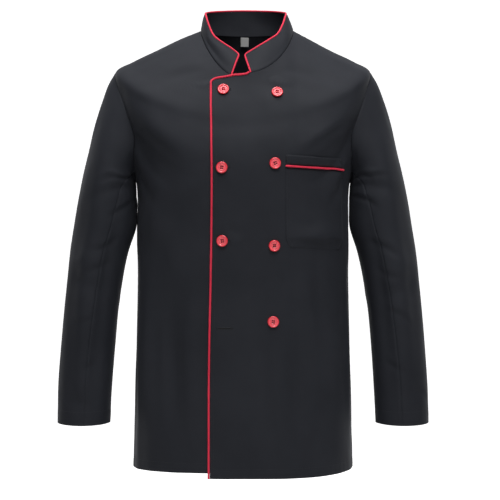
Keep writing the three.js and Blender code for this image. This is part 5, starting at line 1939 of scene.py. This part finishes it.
@dataclass
class Buttonholes:
    """Worked buttonholes in the lap: a slit between two close rows of thread, with bars at its ends."""

    form: TrunkForm
    dressing: Dressing
    length: float = 23.0
    apart: float = 1.35
    # half width of the painted shade strip in each slit
    slit: float = 0.62
    bar: float = 1.9

    def rows(self) -> list[StitchRow]:
        """The close rows round every slit."""
        made = []
        for x, z in BUTTONHOLE_PLACES:
            line = np.linspace(x - self.length / 2, x + self.length / 2, 24)
            for side in (-1, 1):
                level = np.full(24, z + side * self.apart)
                made.append(StitchRow.across(*self.form.on_lap(line, level, 0.05)))
        return made

    def bars(self) -> list[StitchRow]:
        """The bars across the ends."""
        made = []
        for x, z in BUTTONHOLE_PLACES:
            for end in (-1, 1):
                across = np.linspace(z - self.bar, z + self.bar, 8)
                line = np.full(8, x + end * (self.length / 2 + 0.5))
                made.append(StitchRow.across(*self.form.on_lap(line, across, 0.1)))
        return made

    def painted_slit_strips(self) -> bpy.types.Mesh:
        """Painted shade in each buttonhole slit: thin near-black strips just above the cloth."""
        points, faces = [], []
        for x, z in BUTTONHOLE_PLACES:
            count = 16
            line = np.linspace(x - self.length / 2, x + self.length / 2, count)
            half = self.slit * np.sin(np.pi * np.linspace(0.04, 0.96, count)) ** 0.5
            start = len(points)
            for side in (-1, 1):
                for high in (0.03, 0.1):
                    at, _ = self.form.on_lap(line, z + side * half, high)
                    points += at.tolist()
            low, high, far, top = (start + k * count for k in range(4))
            for k in range(count - 1):
                for a, b in ((low, high), (high, top), (top, far), (far, low)):
                    faces.append((a + k, a + k + 1, b + k + 1, b + k))
            for k in (0, count - 1):
                faces.append((low + k, high + k, top + k, far + k))
        mesh = solid_mesh("buttonhole_slits", np.array(points), faces)
        repair = bmesh.new()
        repair.from_mesh(mesh)
        bmesh.ops.recalc_face_normals(repair, faces=repair.faces)
        repair.to_mesh(mesh)
        repair.free()
        return mesh

    def build(self) -> None:
        """Puts in the painted shade of each slit."""
        self.dressing.place(self.painted_slit_strips(), SLIT_SHADE, "twill")


@dataclass(frozen=True)
class Lamp:
    """A soft rectangular studio light."""

    name: str
    place: tuple[float, float, float]
    aim: tuple[float, float, float]
    size: tuple[float, float]
    watts: float
    colour: str = "#ffffff"


@dataclass
class Studio:
    """Pale floor that sweeps up behind, soft lights and the camera at the photo's viewpoint."""

    floor_z: float = -1.02
    floor_half: float = 16.0
    floor_from: float = -9.0
    bend_from: float = 6.0
    bend_radius: float = 3.0
    glow: float = 0.035
    lens: float = 117.2
    camera_at: tuple[float, float, float] = (0.012, -2.8, -0.373)
    lamps: tuple[Lamp, ...] = (
        Lamp("key", (0.3, -1.5, 1.75), (0, 0, -0.22), (1.3, 0.8), 44),
        Lamp("fill", (-0.1, -3.4, 0.0), (0, 0, -0.35), (0.9, 0.9), 3),
        Lamp("top", (-0.1, -0.25, 1.6), (0, 0, -0.1), (1.4, 0.8), 28),
        Lamp("back_left", (-1.9, 1.8, 0.8), (0, 0, -0.35), (1.2, 2.0), 2.6),
        Lamp("back_right", (1.9, 1.8, 0.8), (0, 0, -0.35), (1.2, 2.0), 2.6),
    )

    def backdrop(self) -> None:
        """The sweep of paper."""
        start, radius = self.bend_from, self.bend_radius
        line = [(self.floor_from, 0.0), (start, 0.0)]
        for a in np.linspace(0.1, math.pi / 2, 12):
            line.append((start + radius * math.sin(a), radius - radius * math.cos(a)))
        line.append((start + radius, 12.0))
        points = []
        for y, z in line:
            points += [(side * self.floor_half, y, z + self.floor_z) for side in (-1, 1)]
        faces = [(2 * k, 2 * k + 1, 2 * k + 3, 2 * k + 2) for k in range(len(line) - 1)]
        mesh = bpy.data.meshes.new("studio floor")
        mesh.from_pydata(points, [], faces)
        mesh.shade_smooth()
        mesh.materials.append(StudioPaper("white paper", "#f4f4f4").material())
        floor = bpy.data.objects.new("studio floor", mesh)
        bpy.context.scene.collection.objects.link(floor)

    def light(self) -> None:
        """The lamps and the even light from all round."""
        for lamp in self.lamps:
            data = bpy.data.lights.new(lamp.name, "AREA")
            data.shape = "RECTANGLE"
            data.size, data.size_y = lamp.size
            data.energy = lamp.watts
            data.color = linear(lamp.colour)[:3]
            made = bpy.data.objects.new(lamp.name, data)
            made.location = lamp.place
            way = Vector(lamp.aim) - Vector(lamp.place)
            made.rotation_euler = way.to_track_quat("-Z", "Y").to_euler()
            bpy.context.scene.collection.objects.link(made)
        world = bpy.data.worlds.new("studio")
        world.use_nodes = True
        world.node_tree.nodes.clear()
        white = linear("#ffffff")
        glow = add(world.node_tree, "ShaderNodeBackground", Color=white, Strength=self.glow)
        add(world.node_tree, "ShaderNodeOutputWorld", Surface=glow.outputs[0])
        bpy.context.scene.world = world
        bpy.context.scene.view_settings.view_transform = "Standard"

    def camera(self) -> None:
        """The camera, level with the jacket's middle, 2.8 m in front."""
        data = bpy.data.cameras.new("camera")
        data.sensor_width = 36.0
        data.lens = self.lens
        data.clip_end = 100.0
        made = bpy.data.objects.new("camera", data)
        made.location = self.camera_at
        made.rotation_euler = (math.radians(90), 0, 0)
        bpy.context.scene.collection.objects.link(made)
        bpy.context.scene.camera = made

    def build(self) -> None:
        """Sets up the studio."""
        self.backdrop()
        self.light()
        self.camera()


def main() -> None:
    """Builds the jacket piece by piece, then the studio round it."""
    logging.basicConfig(level=logging.INFO, format="%(name)s: %(message)s")
    form = TrunkForm()
    dressing = Dressing()
    trunk = TrunkPanels(form, dressing)
    trunk.build()
    sleeves = [Sleeve(form, side, dressing) for side in Side]
    for sleeve in sleeves:
        sleeve.build()
    collar = StandCollar(form, dressing)
    collar.build()
    pocket = ChestPocket(form, dressing)
    pocket.build()
    Piping(form, dressing).build(trunk.panels["front_left"], collar.panel, pocket.piping_line())
    label = NeckLabel(form, dressing)
    label.build()
    buttons = Buttons(form, dressing)
    buttons.build()
    buttonholes = Buttonholes(form, dressing)
    buttonholes.build()
    sewing = Sewing(dressing)
    rows = trunk.rows_of_stitches() + collar.rows_of_stitches() + pocket.rows_of_stitches()
    for sleeve in sleeves:
        rows += sleeve.rows_of_stitches()
    sewing.sew("topstitching", rows, DARK_THREAD, "twill")
    close = buttonholes.rows() + buttonholes.bars() + pocket.bar_rows()
    sewing.sew("buttonhole_thread", close, DARK_THREAD, "twill", pitch=0.5, length=2.0, radius=0.2)
    sewing.sew("button_thread", buttons.threads, RED_THREAD, "button", pitch=1.0, length=3.9, radius=0.17)
    held = label.rows_of_stitches()
    sewing.sew("label_thread", held, GREY_THREAD, "label_tape", pitch=1.6, length=1.2, radius=0.12)
    Studio().build()


if __name__ == "__main__":
    main()
